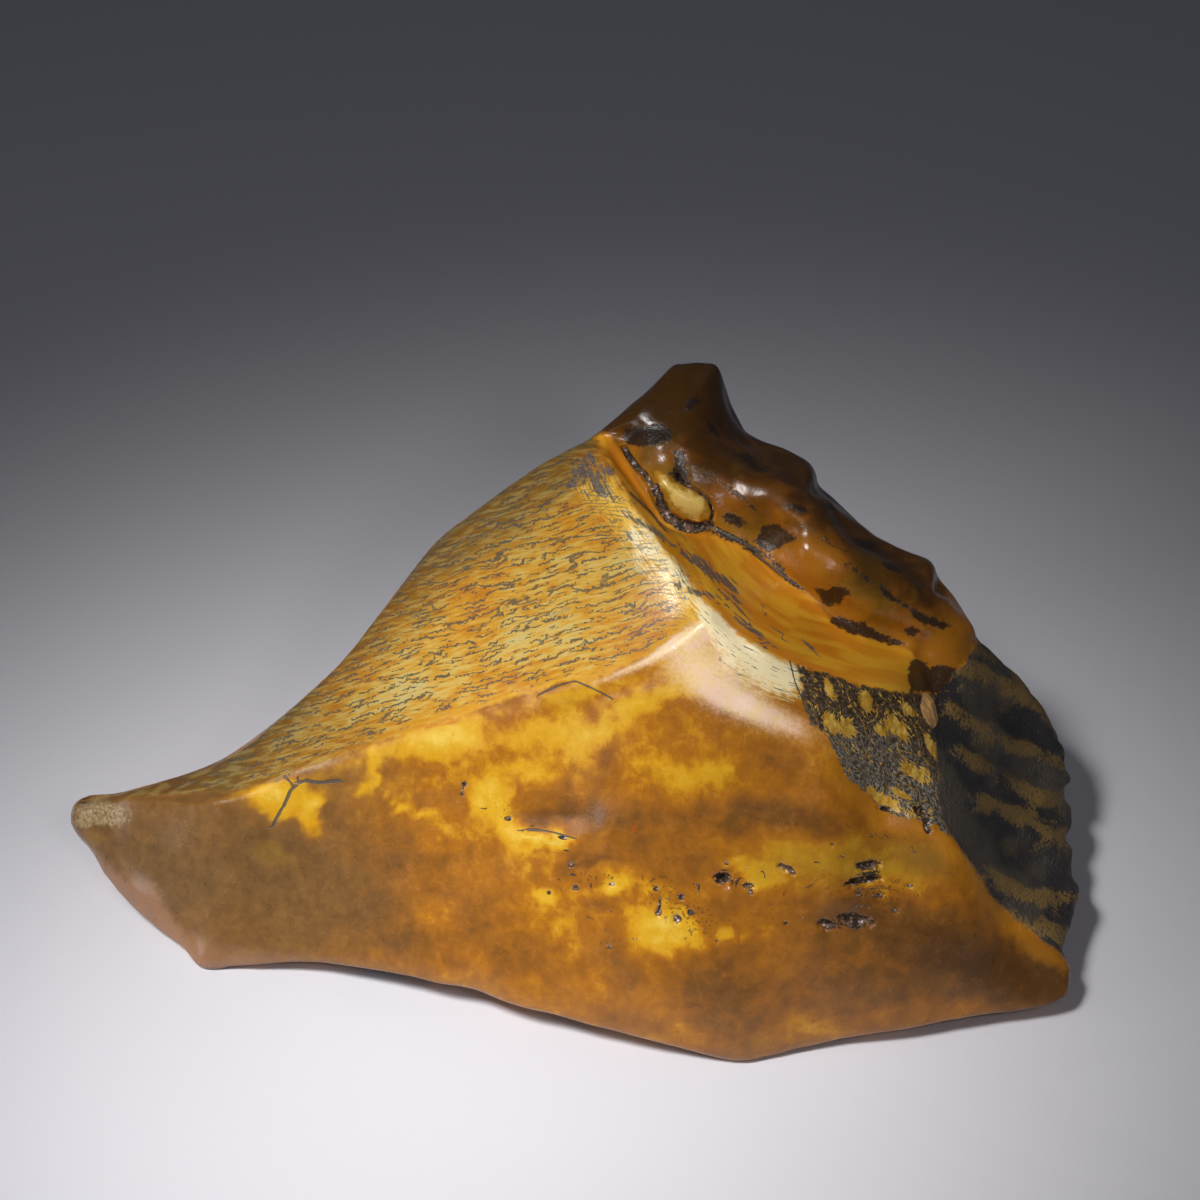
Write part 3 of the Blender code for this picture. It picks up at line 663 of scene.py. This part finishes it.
def mark_net(surface, clouds, front_edge):
    """Mark the net of hairlines. It runs along the stone and bends down at the crest."""
    u, v = surface.marks.T
    crest = line_side(surface.marks, CREST_LINE)
    near_crest = step(np.abs(crest), 3.6, 0.0)
    along, across = turned(u, v, NET_TURN)
    bend = 1.3 * near_crest + 0.5 * waves(surface.points, 7.0, 1)
    surface.mark_place("net", along, across + bend)
    density = step(u, -44.0, -36.0) + 0.25 * clouds - 0.03 * np.clip(front_edge - 6.0, 0.0, None)
    density += 0.2 * step(u, -6.0, 4.0) * step(front_edge, 9.0, 4.0) - 0.45 * near_crest
    density -= 0.6 * step(surface.facing, 0.66, 0.4)
    density -= 0.5 * step(front_edge, 1.1, 0.2) * step(u, -16.0, -6.0)
    surface.mark("density", density)
    high_up = step(front_edge, 5.0, 9.0) * step(u, -22.0, -10.0)
    surface.mark("veins", high_up * step(surface.facing, 0.6, 0.75))
    # Painted shade, partly the stone's own dull brown: darker at the far left and at the top back
    # of the upper face, where it turns away.
    dull_and_shade = 0.9 * step(u + 0.5 * front_edge + 3.0 * clouds, -6.0, -34.0)
    dull_and_shade += 0.85 * step(v - 0.78 * u + 2.0 * clouds, 29.5, 36.5)
    surface.mark("dull_and_shade", np.clip(dull_and_shade, 0.0, 1.0))
    surface.mark_place("crest", line_along(surface.marks, CREST_LINE), crest)


def mark_strokes(surface, clouds):
    """Mark the brush strokes that run down the brushed face."""
    u, v = surface.marks.T
    along, across = turned(u, v, STROKE_TURN)
    surface.mark_place("strokes", along, across + 0.7 * waves(surface.points, 3.0, 2))
    surface.mark("greyer", step(v + 0.3 * u + 3.0 * clouds, 21.5, 16.0))


def mark_thin_cracks(surface):
    """Mark the nearest thin crack, in half-widths.

    Its side changes sign across the crack, so the crack stays sharp between vertices.
    """
    nearest = np.full(len(surface.marks), REACH)
    for path, half_width in THIN_CRACKS:
        side = line_side(surface.marks, path) / half_width
        nearest = np.where(np.abs(side) < np.abs(nearest), side, nearest)
    surface.mark("thin_crack", nearest)
    surface.mark("thin_crack_near", np.abs(nearest))


def lay_out(surface):
    """Mark everything that the material colours."""
    clouds = waves(surface.points, 6.0, 3)
    front_edge = line_side(surface.marks, FRONT_EDGE)
    mark_regions(surface)
    mark_stains(surface, clouds, front_edge)
    mark_net(surface, clouds, front_edge)
    surface.mark("rim", line_side(surface.marks, RIM_LINE))
    surface.mark("front_edge", front_edge)
    mark_strokes(surface, clouds)
    mark_thin_cracks(surface)


# ---- The material ------------------------------------------------------------------------


class Value:
    """A number in the material. Arithmetic on it adds the Math nodes."""

    def __init__(self, paint, socket):
        self.paint = paint
        self.socket = socket

    def __add__(self, other):
        return self.paint.math("ADD", self, other)

    def __sub__(self, other):
        return self.paint.math("SUBTRACT", self, other)

    def __rsub__(self, other):
        return self.paint.math("SUBTRACT", other, self)

    def __mul__(self, other):
        return self.paint.math("MULTIPLY", self, other)

    def __truediv__(self, other):
        return self.paint.math("DIVIDE", self, other)

    def __abs__(self):
        return self.paint.math("ABSOLUTE", self)

    def __or__(self, other):
        """The larger of two masks."""
        return self.paint.math("MAXIMUM", self, other)

    __radd__ = __add__
    __rmul__ = __mul__


def tone(red, green, blue):
    """A colour as it shows on a screen, 0 to 255, turned into light."""
    linear = [((part / 255 + 0.055) / 1.055) ** 2.4 for part in (red, green, blue)]
    return (*linear, 1.0)


class Paint:
    """A material and the nodes it is made of."""

    def __init__(self, name):
        self.material = bpy.data.materials.new(name)
        self.material.use_nodes = True
        self.tree = self.material.node_tree
        self.shader = self.tree.nodes["Principled BSDF"]
        coordinates = self.node("ShaderNodeTexCoord", {}, {})
        scaling = {0: coordinates.outputs["Object"], "Scale": 1 / MM}
        self.place = self.vector("SCALE", scaling)  # in millimetres

    def connect(self, value, socket):
        """Give a socket a value, or link it to one."""
        if isinstance(value, Value):
            value = value.socket
        if isinstance(value, bpy.types.NodeSocket):
            self.tree.links.new(value, socket)
        else:
            socket.default_value = value

    def node(self, kind, settings, sockets):
        """A new node: its settings first, then the values or links of its sockets."""
        node = self.tree.nodes.new(kind)
        for name, setting in settings.items():
            setattr(node, name, setting)
        for name, value in sockets.items():
            self.connect(value, node.inputs[name])
        return node

    def math(self, operation, *numbers):
        """A Math node's result."""
        node = self.node("ShaderNodeMath", {"operation": operation}, dict(enumerate(numbers)))
        return Value(self, node.outputs[0])

    def vector(self, operation, sockets):
        """A Vector Math node's result."""
        return self.node("ShaderNodeVectorMath", {"operation": operation}, sockets).outputs[0]

    def axes(self, vector):
        """A vector's three parts."""
        node = self.node("ShaderNodeSeparateXYZ", {}, {0: vector})
        return [Value(self, socket) for socket in node.outputs]

    def marked(self, name):
        """A value kept on the stone's surface."""
        node = self.node("ShaderNodeAttribute", {"attribute_name": name}, {})
        return Value(self, node.outputs["Fac"])

    def marked_place(self, name):
        """A place on a pattern, kept on the stone's surface."""
        return self.node("ShaderNodeAttribute", {"attribute_name": name}, {}).outputs["Vector"]

    def oval(self, name):
        """Distance from the middle of the nearest oval of a kind, as a share of its radius."""
        sockets = {0: self.marked_place(name)}
        node = self.node("ShaderNodeVectorMath", {"operation": "LENGTH"}, sockets)
        return Value(self, node.outputs["Value"])

    def noise(self, vector, size, detail=3.0, roughness=0.5, flat=False, swirl=0.0):
        """Cloudy noise from 0 to 1 with forms about this many millimetres across."""
        settings = {"noise_dimensions": "2D" if flat else "3D"}
        sockets = {
            "Vector": vector, "Scale": 1.0 / size, "Detail": detail, "Roughness": roughness,
            "Distortion": swirl,
        }
        return Value(self, self.node("ShaderNodeTexNoise", settings, sockets).outputs["Fac"])

    def grain(self, place, length, height, detail=2.0, roughness=0.5):
        """Noise on a pattern's own axes, drawn out to this length and height."""
        stretched = self.vector("MULTIPLY", {0: place, 1: (1.0 / length, 1.0 / height, 0.0)})
        return self.noise(stretched, 1.0, detail, roughness, flat=True)

    def rows(self, value):
        """Distance from the nearest whole number."""
        return self.math("PINGPONG", value, 0.5)

    def soft(self, value, low, high):
        """A soft step from 0 at low to 1 at high."""
        sockets = {0: value, 1: low, 2: high, 3: 0.0, 4: 1.0}
        node = self.node("ShaderNodeMapRange", {"interpolation_type": "SMOOTHSTEP"}, sockets)
        return Value(self, node.outputs[0])

    def ramp(self, value, stops):
        """The colour that a value has between the stops' colours."""
        node = self.node("ShaderNodeValToRGB", {}, {0: value})
        elements = node.color_ramp.elements
        while len(elements) < len(stops):
            elements.new(0.5)
        for element, (position, colour) in zip(elements, stops):
            element.position = position
            element.color = colour
        return node.outputs[0]

    def mix(self, share, first, second):
        """The first colour where share is 0, the second where it is 1."""
        sockets = {0: share, 6: first, 7: second}
        return self.node("ShaderNodeMix", {"data_type": "RGBA"}, sockets).outputs[2]


MARBLE = [
    (0.0, tone(90, 58, 24)), (0.22, tone(118, 76, 28)), (0.38, tone(148, 92, 24)),
    (0.5, tone(168, 106, 20)), (0.58, tone(190, 130, 20)), (0.66, tone(207, 152, 26)),
    (0.8, tone(215, 167, 38)), (1.0, tone(228, 192, 80)),
]
NET_GROUND = [
    (0.3, tone(180, 102, 28)), (0.44, tone(194, 128, 34)), (0.54, tone(204, 152, 50)),
    (0.66, tone(208, 176, 92)), (0.84, tone(192, 184, 134)),
]
SMOKE = tone(84, 54, 26)
REDDISH = tone(184, 76, 20)
OLIVE = tone(150, 116, 36)
# Pink of the painted floor reflection on the lowest rim.
FLOOR_REFLECTION_PINK = tone(166, 124, 100)
SLATE = tone(84, 80, 76)
BLACK = tone(38, 32, 28)
HAIRLINE = tone(84, 78, 66)
CALM_BROWNS = tone(104, 77, 46), tone(126, 94, 52)
RIM_GOLD = tone(196, 128, 26)
# Colours of the painted sheen.
ROSY_PAINTED_SHEEN, WARM_PAINTED_SHEEN = tone(250, 216, 192), tone(250, 220, 168)
MARGIN_GOLD = tone(218, 158, 34)
# Browns of the painted shade on the upper face, partly its own dull brown.
DULL_AND_SHADE_BROWNS = tone(88, 63, 32), tone(122, 101, 62)
BAND_ORANGES = tone(216, 134, 28), tone(236, 172, 44)
BAND_YELLOW = tone(222, 168, 44)
RIND_BROWNS = tone(96, 57, 16), tone(148, 90, 18)
# The rind's darkest brown is partly painted shade.
RIND_OLIVE, RIND_ORANGE, RIND_DARK_AND_SHADE = tone(160, 116, 34), tone(190, 122, 26), tone(56, 35, 11)
BRUSHED_YELLOWS = tone(190, 142, 46), tone(216, 176, 82)
INK_GREY, INK_GLINT, PALE_GLINT = tone(60, 56, 51), tone(90, 76, 68), tone(140, 134, 126)
FLUTED_SLATES = tone(48, 45, 46), tone(78, 71, 62)
FLUTE_OLIVE, POOL_BLUE = tone(142, 112, 54), tone(38, 37, 43)
BACK_BROWNS = tone(128, 78, 28), tone(180, 116, 34)
CREST_GOLD, CREAM = tone(242, 194, 70), tone(255, 240, 196)
BLOB_ORANGE, KNOB_PINK = tone(220, 146, 26), tone(214, 164, 104)
STREAK_GREYS = SLATE, tone(112, 106, 104)
INCLUSION_BLACKS = tone(32, 24, 20), tone(58, 48, 44)
ALMOND_TONES = tone(184, 134, 36), tone(236, 200, 108)
ALMOND_SPECK = tone(110, 72, 34)
PIT_TONES = BLACK, tone(112, 84, 58)
# White of the painted glints in the pits.
PIT_GLINT = tone(206, 202, 208)
WORN_TONES = tone(128, 108, 74), tone(176, 154, 116)
FLOOR_GREY = tone(214, 214, 222)


# Every region's paint reads two noises: ragged breaks up its edges and pepper speckles it.


def front_marble(paint, ragged, pepper):
    """Front face: marbled from smoky brown through orange to yellow."""
    soft, mix, marked = paint.soft, paint.mix, paint.marked
    curdle = paint.noise(paint.place, 1.5, 5.0, 0.62, swirl=0.3) - 0.5
    warmth = marked("warmth")
    calm = soft(paint.u + curdle * 8.0, -10.0, -26.0) * soft(warmth, 0.72, 0.5)
    marble = paint.ramp(warmth + curdle * (0.5 - calm * 0.3) + ragged * 0.16, MARBLE)
    calmer = mix(soft(curdle + ragged * 0.6, -0.25, 0.25), *CALM_BROWNS)
    marble = mix(calm * 0.75, marble, calmer)
    for name, unrest, low, high, share, stained in (
        ("olive", 0.5, 0.2, 1.1, 0.55, OLIVE), ("red", 0.6, 0.25, 0.9, 0.6, REDDISH),
        ("smoky", 0.6, 0.3, 1.0, 0.6, SMOKE),
    ):
        marble = mix(soft(marked(name) + curdle * unrest, low, high) * share, marble, stained)
    rim = marked("rim")
    in_rim = soft(rim + ragged * 1.4, -1.9, -0.5) * soft(rim, 0.9, 0.3)
    marble = mix(in_rim * 0.5, marble, RIM_GOLD)
    # Painted sheen: a pale rosy highlight painted over the marble.
    painted_sheen = soft(marked("painted_sheen") + curdle * 0.3 + (pepper - 0.5) * 0.7, 0.0, 1.2)
    marble = mix(painted_sheen * 0.85, marble, mix(soft(curdle, 0.1, -0.1), ROSY_PAINTED_SHEEN, WARM_PAINTED_SHEEN))
    # Painted reflection: pink along the lowest rim and on the bevel under the left end, where the
    # pale floor would reflect.
    floor_reflection = soft(paint.height + ragged * 2.4, 3.4, 0.4) * (0.2 + soft(paint.u, 8.0, -6.0) * 0.8)
    floor_reflection = floor_reflection | soft(marked("undercut") + ragged * 1.2, -0.5, 1.0)
    marble = mix(floor_reflection * 0.55, marble, FLOOR_REFLECTION_PINK)
    speckled = soft(marked("peppered") + ragged * 0.8, 0.25, 0.8)
    return mix(soft(pepper + speckled * 0.16, 0.71, 0.77) * 0.7, marble, SMOKE)


def upper_net(paint, ragged):
    """Upper face: gold and yellow streaks under a net of broken hairlines."""
    soft, mix, marked, grain = paint.soft, paint.mix, paint.marked, paint.grain
    net = paint.marked_place("net")
    along, across, _ = paint.axes(net)
    drift = grain(net, 5.0, 2.2, 1.0)
    kinks = grain(net, 0.7, 0.9, 3.0, 0.65)
    breaks = grain(net, 2.6, 0.45, 1.0, 0.5)
    streaks = grain(net, 2.0, 0.36, 3.0, 0.6)
    density = marked("density")
    line = soft(paint.rows(across / 0.42 + drift * 3.0 + kinks * 1.7), 0.2, 0.12)
    line = line * soft(breaks + (density - 0.5) * 0.3, 0.33, 0.38)
    slanted = paint.rows((across + along * 0.16) / 0.5 + drift * 3.0 + kinks * 1.6)
    slanted = soft(slanted, 0.17, 0.09) * soft(0.5 * density - breaks, -0.27, -0.21)
    twig = soft(paint.rows((across * 0.8 - along * 0.5) / 0.6 + kinks * 1.6), 0.13, 0.07)
    twig = twig * soft(breaks - streaks * 0.4 + density * 0.24, 0.33, 0.38)
    vein = soft(paint.rows(across / 2.3 + drift * 1.6 + kinks * 0.22), 0.05, 0.025)
    vein = vein * soft(streaks, 0.4, 0.46) * marked("veins")
    hairline = (line | slanted | twig | vein) * soft(marked("upper") + ragged * 1.6, 0.1, 0.9)

    # The pale stains here are partly a painted sheen along the middle of the upper face.
    tint = 0.26 + streaks * 0.56 + marked("clouds") * 0.12 + marked("pale") * 0.12 + ragged * 0.1
    ground = paint.ramp(tint, NET_GROUND)
    ground = mix(soft(marked("red") + ragged * 0.5, 0.35, 0.9) * 0.7, ground, REDDISH)
    margin = soft(marked("front_edge") + ragged * 1.6, 1.6, 0.3) * soft(paint.u, -28.0, -10.0)
    ground = mix(margin * 0.65, ground, MARGIN_GOLD)
    # Darker brown at the far left and top back: partly the stone's own dull brown, partly painted
    # shade.
    ground = mix(marked("dull_and_shade") * 0.85, ground, mix(soft(streaks, 0.45, 0.6), *DULL_AND_SHADE_BROWNS))
    return mix(hairline * 0.9, ground, HAIRLINE), hairline


def crest_band(paint):
    """The smooth orange band behind the crest, with a few slate strands along it."""
    soft, mix, grain = paint.soft, paint.mix, paint.grain
    crest = paint.marked_place("crest")
    strands = grain(crest, 2.6, 0.2, 3.0, 0.65)
    flow = grain(crest, 7.0, 1.0, 2.0)
    band = mix(soft(flow, 0.35, 0.7), *BAND_ORANGES)
    band = mix(soft(paint.u, 22.0, 31.0) * 0.5, band, BAND_YELLOW)
    band = mix(soft(strands, 0.68, 0.73) * soft(flow, 0.5, 0.62) * 0.8, band, SLATE)
    return band, strands


def lumpy_rind(paint, ragged, pepper):
    """Rind: golden brown, with painted shade that darkens it deeper in and high up towards the
    horn, partly its own dark brown, with black inclusions.
    """
    soft, mix, marked = paint.soft, paint.mix, paint.marked
    clouds, wisps = marked("clouds"), marked("wisps")
    rind = mix(soft(wisps + clouds + ragged * 0.5, -0.4, 0.4), *RIND_BROWNS)
    rind = mix(soft(clouds - wisps * 0.6 + ragged, 0.05, 0.5) * 0.7, rind, RIND_OLIVE)
    lower = soft(marked("rind") + clouds * 3.0 + ragged, 5.0, 0.5)
    rind = mix(lower * 0.75, rind, RIND_ORANGE)
    # Painted shade, partly the rind's own dark brown: darker deeper into the rind and high up
    # towards the horn.
    dark = soft(marked("rind") + clouds * 2.4 + ragged * 1.6, 2.8, 6.6) * 0.8
    dark = dark | soft(paint.v + clouds * 3.0 - paint.u * 0.1, 34.5, 38.5) * 0.9
    rind = mix(dark, rind, RIND_DARK_AND_SHADE)
    inclusion = soft(marked("inclusion") + ragged * 0.9 + (pepper - 0.5) * 0.7, -0.14, 0.14)
    return rind, inclusion


def brushed_face(paint, ragged, pepper):
    """Brushed face: ragged black strokes over yellow, fine and grey lower down."""
    soft, mix, marked, grain = paint.soft, paint.mix, paint.marked, paint.grain
    strokes = paint.marked_place("strokes")
    broad = grain(strokes, 1.5, 0.36, 4.0, 0.75)
    scratches = grain(strokes, 0.6, 0.14, 2.0, 0.6)
    greyer = marked("greyer")
    island = soft(paint.oval("nearest_island") + ragged * 1.4 + (scratches - 0.5) * 1.4, 1.15, 0.75)
    ground = mix(soft(ragged, -0.1, 0.1), *BRUSHED_YELLOWS)
    ink = broad + (scratches - 0.5) * 0.6 + (pepper - 0.5) * 0.4 - island * 0.42 + greyer * 0.02
    glint = soft(grain(strokes, 0.4, 0.14, 3.0, 0.7) + (pepper - 0.5) * 0.3, 0.44, 0.62)
    dark, light = mix(greyer, BLACK, INK_GREY), mix(greyer, INK_GLINT, PALE_GLINT)
    return mix(soft(ink, 0.33, 0.38) * 0.96, ground, mix(glint, dark, light))


def fluted_slate(paint, ragged, pepper):
    """Fluted end: dark slate with speckled olive crests."""
    soft, mix, marked = paint.soft, paint.mix, paint.marked
    fluted = mix(soft(marked("clouds") + ragged, -0.3, 0.3), *FLUTED_SLATES)
    crests = marked("flute") + ragged * 1.2 + (pepper - 0.5) * 2.2 + marked("wisps") * 0.7
    fluted = mix(soft(crests, 0.45, 0.95) * 0.75, fluted, FLUTE_OLIVE)
    pool = soft(abs(paint.u - 40.7) * 0.31 + abs(paint.v + 0.4) * 0.62, 1.2, 0.3)
    return mix(pool * 0.7, fluted, POOL_BLUE)


def plain_back(paint, ragged):
    """The side that is turned away: brown with a few black patches."""
    patches = paint.marked("back_patches")
    back = paint.mix(paint.soft(patches + ragged * 0.3, -0.3, 0.3), *BACK_BROWNS)
    return paint.mix(paint.soft(patches + ragged * 0.8, -0.42, -0.56), back, BLACK)


def crest_cream(paint, colour, ragged, strands, hairline):
    """The crest's cream edge, which fades into the faces beside it in streaks."""
    soft, mix, marked = paint.soft, paint.mix, paint.marked
    cream = soft(marked("cream") + ragged * 3.0 + (strands - 0.5) * 3.0, -0.9, 1.1)
    colour = mix(cream * 0.9, colour, CREST_GOLD)
    whiter = marked("clouds") + (strands - 0.5) * 1.6 + ragged + marked("cream") * 0.25
    colour = mix(cream * soft(whiter, -0.25, 0.25) * 0.9, colour, CREAM)
    dashes = soft(strands + ragged * 0.5, 0.62, 0.68) | (hairline * 0.8)
    return mix(dashes * cream * 0.85, colour, SLATE)


def almond_inset(paint, ragged, pepper):
    """The almond inset, and where it is."""
    soft, mix = paint.soft, paint.mix
    depth = paint.marked("almond")
    inset = mix(soft(depth + ragged * 2.4, 0.1, 0.8), *ALMOND_TONES)
    inset = mix(soft(pepper, 0.64, 0.72) * 0.7, inset, ALMOND_SPECK)
    return inset, soft(depth + ragged * 0.5, -0.05, 0.12)


def agate_finish():
    """The whole stone's finish, region by region."""
    paint = Paint("weathered_agate")
    soft, mix, marked, oval = paint.soft, paint.mix, paint.marked, paint.oval
    x, y, z = paint.axes(paint.place)
    paint.u, paint.v, paint.height = x, y * math.sin(LEAN) + z * math.cos(LEAN), z
    ragged = paint.noise(paint.place, 1.0, 3.0, 0.6) - 0.5
    pepper = paint.noise(paint.place, 0.3, 2.0, 0.6)
    hidden = soft(marked("hidden") + ragged * 0.6, 0.2, 0.8)

    upper, hairline = upper_net(paint, ragged)
    band, strands = crest_band(paint)
    rind, inclusion = lumpy_rind(paint, ragged, pepper)
    almond, in_almond = almond_inset(paint, ragged, pepper)
    in_fluted = soft(marked("fluted") + ragged * 1.2, -0.2, 0.3)
    streak = oval("nearest_streak") - (strands - 0.5) * 4.0 + ragged * 1.6
    thin = soft(abs(marked("thin_crack")) + ragged * 1.6, 1.2, 0.6) * (1 - hidden)
    thin = thin * soft(marked("thin_crack_near"), 4.0, 2.6)
    pit = soft(oval("nearest_pit") + ragged * 2.0, 1.05, 0.75) * (1 - hidden)
    hollow = pit | soft(marked("crack") + ragged * 0.8, 0.35, 0.65)
    worn_tip = soft(marked("pale") + ragged * 1.6, 0.45, 0.95) * soft(paint.u, -39.8, -41.6)

    on_upper = soft(marked("upper") + ragged, -0.2, 0.2)
    colour = mix(on_upper, front_marble(paint, ragged, pepper), upper)
    colour = crest_cream(paint, colour, ragged, strands, hairline)
    for share, layer in (
        (soft(marked("band") + ragged * 1.2, -0.25, 0.3), band),
        (soft(oval("nearest_blob") + ragged * 0.8, 1.1, 0.9), BLOB_ORANGE),
        (soft(streak, 1.0, 0.75) * 0.9, mix(soft(pepper, 0.4, 0.6), *STREAK_GREYS)),
        (soft(marked("rind") + ragged, -0.2, 0.3), rind),
        (soft(marked("brushed") + ragged * 1.6, -0.12, 0.14), brushed_face(paint, ragged, pepper)),
        (in_fluted, fluted_slate(paint, ragged, pepper)),
        (hidden * (1 - in_fluted * 0.7), plain_back(paint, ragged)),
        (inclusion * 0.9, mix(soft(pepper, 0.46, 0.74), *INCLUSION_BLACKS)),
        (in_almond, almond),
        (soft(oval("nearest_knob") + ragged * 0.5, 1.08, 0.95) * (1 - hidden), KNOB_PINK),
        (thin * 0.9, SLATE),
        # The pits and the almond's crack have a dark floor, with a few painted glints in it.
        (hollow, mix(soft(ragged + (pepper - 0.5) * 0.8, -0.16, 0.06), *PIT_TONES)),
        (soft(pepper + ragged * 0.4, 0.6, 0.66) * hollow, PIT_GLINT),
        (worn_tip * 0.85, mix(soft(pepper, 0.35, 0.65), *WORN_TONES)),
    ):
        colour = mix(share, colour, layer)
    paint.connect(colour, paint.shader.inputs["Base Color"])

    # Gloss: waxy all over, duller where it is rough.
    rough = in_fluted | hollow | (inclusion * 0.3)
    on_rind = soft(marked("rind"), 0.0, 0.6)
    roughness = 0.3 + ragged * 0.16 + rough * 0.32 + hairline * 0.12 - on_rind * 0.04
    paint.connect(roughness, paint.shader.inputs["Roughness"])
    relief = pepper * (0.022 + rough * 0.2) - thin * 0.1
    bump = paint.node("ShaderNodeBump", {}, {"Strength": 1.0, "Distance": MM, "Height": relief})
    paint.connect(bump.outputs[0], paint.shader.inputs["Normal"])
    paint.shader.inputs["IOR"].default_value = 1.5
    return paint.material


# ---- Floor, light and camera ---------------------------------------------------------------

FLOOR_HALF = 2500.0
CAMERA_TARGET, CAMERA_DISTANCE = (2.4, 1.0, 29.5), 315.0
LENS, SENSOR_WIDTH = 105.0, 36.0
WARM_WHITE, ROSY_WHITE = (1.0, 0.98, 0.95), (1.0, 0.95, 0.97)
COOL_WHITE, BLUISH_WHITE = (0.92, 0.94, 1.0), (0.9, 0.93, 1.0)
# Name, place, target, width, power, colour and spread in degrees.
LIGHTS = [
    ("key", (-136.0, -136.0, 318.0), (-14.0, -32.0, 8.0), 90.0, 0.045, WARM_WHITE, 27.0),
    ("low", (-310.0, -130.0, 120.0), (0.0, 0.0, 15.0), 110.0, 0.03, COOL_WHITE, 90.0),
    ("sheen", (78.0, -206.0, 225.0), (8.0, -10.0, 20.0), 40.0, 0.01, ROSY_WHITE, 60.0),
    ("back", (200.0, 260.0, 300.0), (0.0, 0.0, 15.0), 260.0, 0.006, BLUISH_WHITE, 150.0),
]
SKY_COLOUR, SKY_STRENGTH = (0.75, 0.8, 0.9, 1.0), 0.05


def aim(thing, place, target):
    """Put a light or the camera at a place, turned to a target."""
    thing.location = Vector(place) * MM
    direction = (Vector(target) - Vector(place)).normalized()
    thing.rotation_euler = direction.to_track_quat("-Z", "Y").to_euler()
    bpy.context.scene.collection.objects.link(thing)


def soft_light(name, place, target, size, power, colour, spread):
    """A round soft box."""
    lamp = bpy.data.lights.new(name, "AREA")
    lamp.shape = "DISK"
    lamp.size = size * MM
    lamp.energy = power
    lamp.color = colour
    lamp.spread = math.radians(spread)
    aim(bpy.data.objects.new(name, lamp), place, target)


def set_stage():
    """A plain pale floor, soft light from the front and a camera that looks down at the stone."""
    floor_shape = bmesh.new()
    bmesh.ops.create_grid(floor_shape, x_segments=1, y_segments=1, size=FLOOR_HALF * MM)
    floor_mesh = bpy.data.meshes.new("floor")
    floor_shape.to_mesh(floor_mesh)
    floor_shape.free()
    floor = bpy.data.objects.new("floor", floor_mesh)
    bpy.context.scene.collection.objects.link(floor)
    pale = Paint("pale_floor")
    pale.shader.inputs["Base Color"].default_value = FLOOR_GREY
    pale.shader.inputs["Roughness"].default_value = 0.8
    floor_mesh.materials.append(pale.material)

    for light in LIGHTS:
        soft_light(*light)

    world = bpy.data.worlds.new("studio")
    world.use_nodes = True
    background = world.node_tree.nodes["Background"]
    background.inputs["Color"].default_value = SKY_COLOUR
    background.inputs["Strength"].default_value = SKY_STRENGTH
    bpy.context.scene.world = world

    camera = bpy.data.cameras.new("camera")
    camera.lens = LENS
    camera.sensor_width = SENSOR_WIDTH
    camera.clip_start = 10.0 * MM
    camera_object = bpy.data.objects.new("camera", camera)
    target = np.array(CAMERA_TARGET)
    aim(camera_object, target + TO_VIEWER * CAMERA_DISTANCE, target)
    bpy.context.scene.camera = camera_object
    bpy.context.scene.view_settings.view_transform = "Standard"


def main():
    """Carve and colour the stone and put it in place of the plain solid."""
    mesh = rounded_copy(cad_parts["agate"])
    surface = Surface(mesh)
    lay_out(surface)
    carve(surface)
    mesh.shade_smooth()
    mesh.materials.clear()
    mesh.materials.append(agate_finish())
    stone = bpy.data.objects.new("raw_agate", mesh)
    bpy.context.scene.collection.objects.link(stone)
    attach(stone, "root")
    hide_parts("agate")
    set_stage()


main()
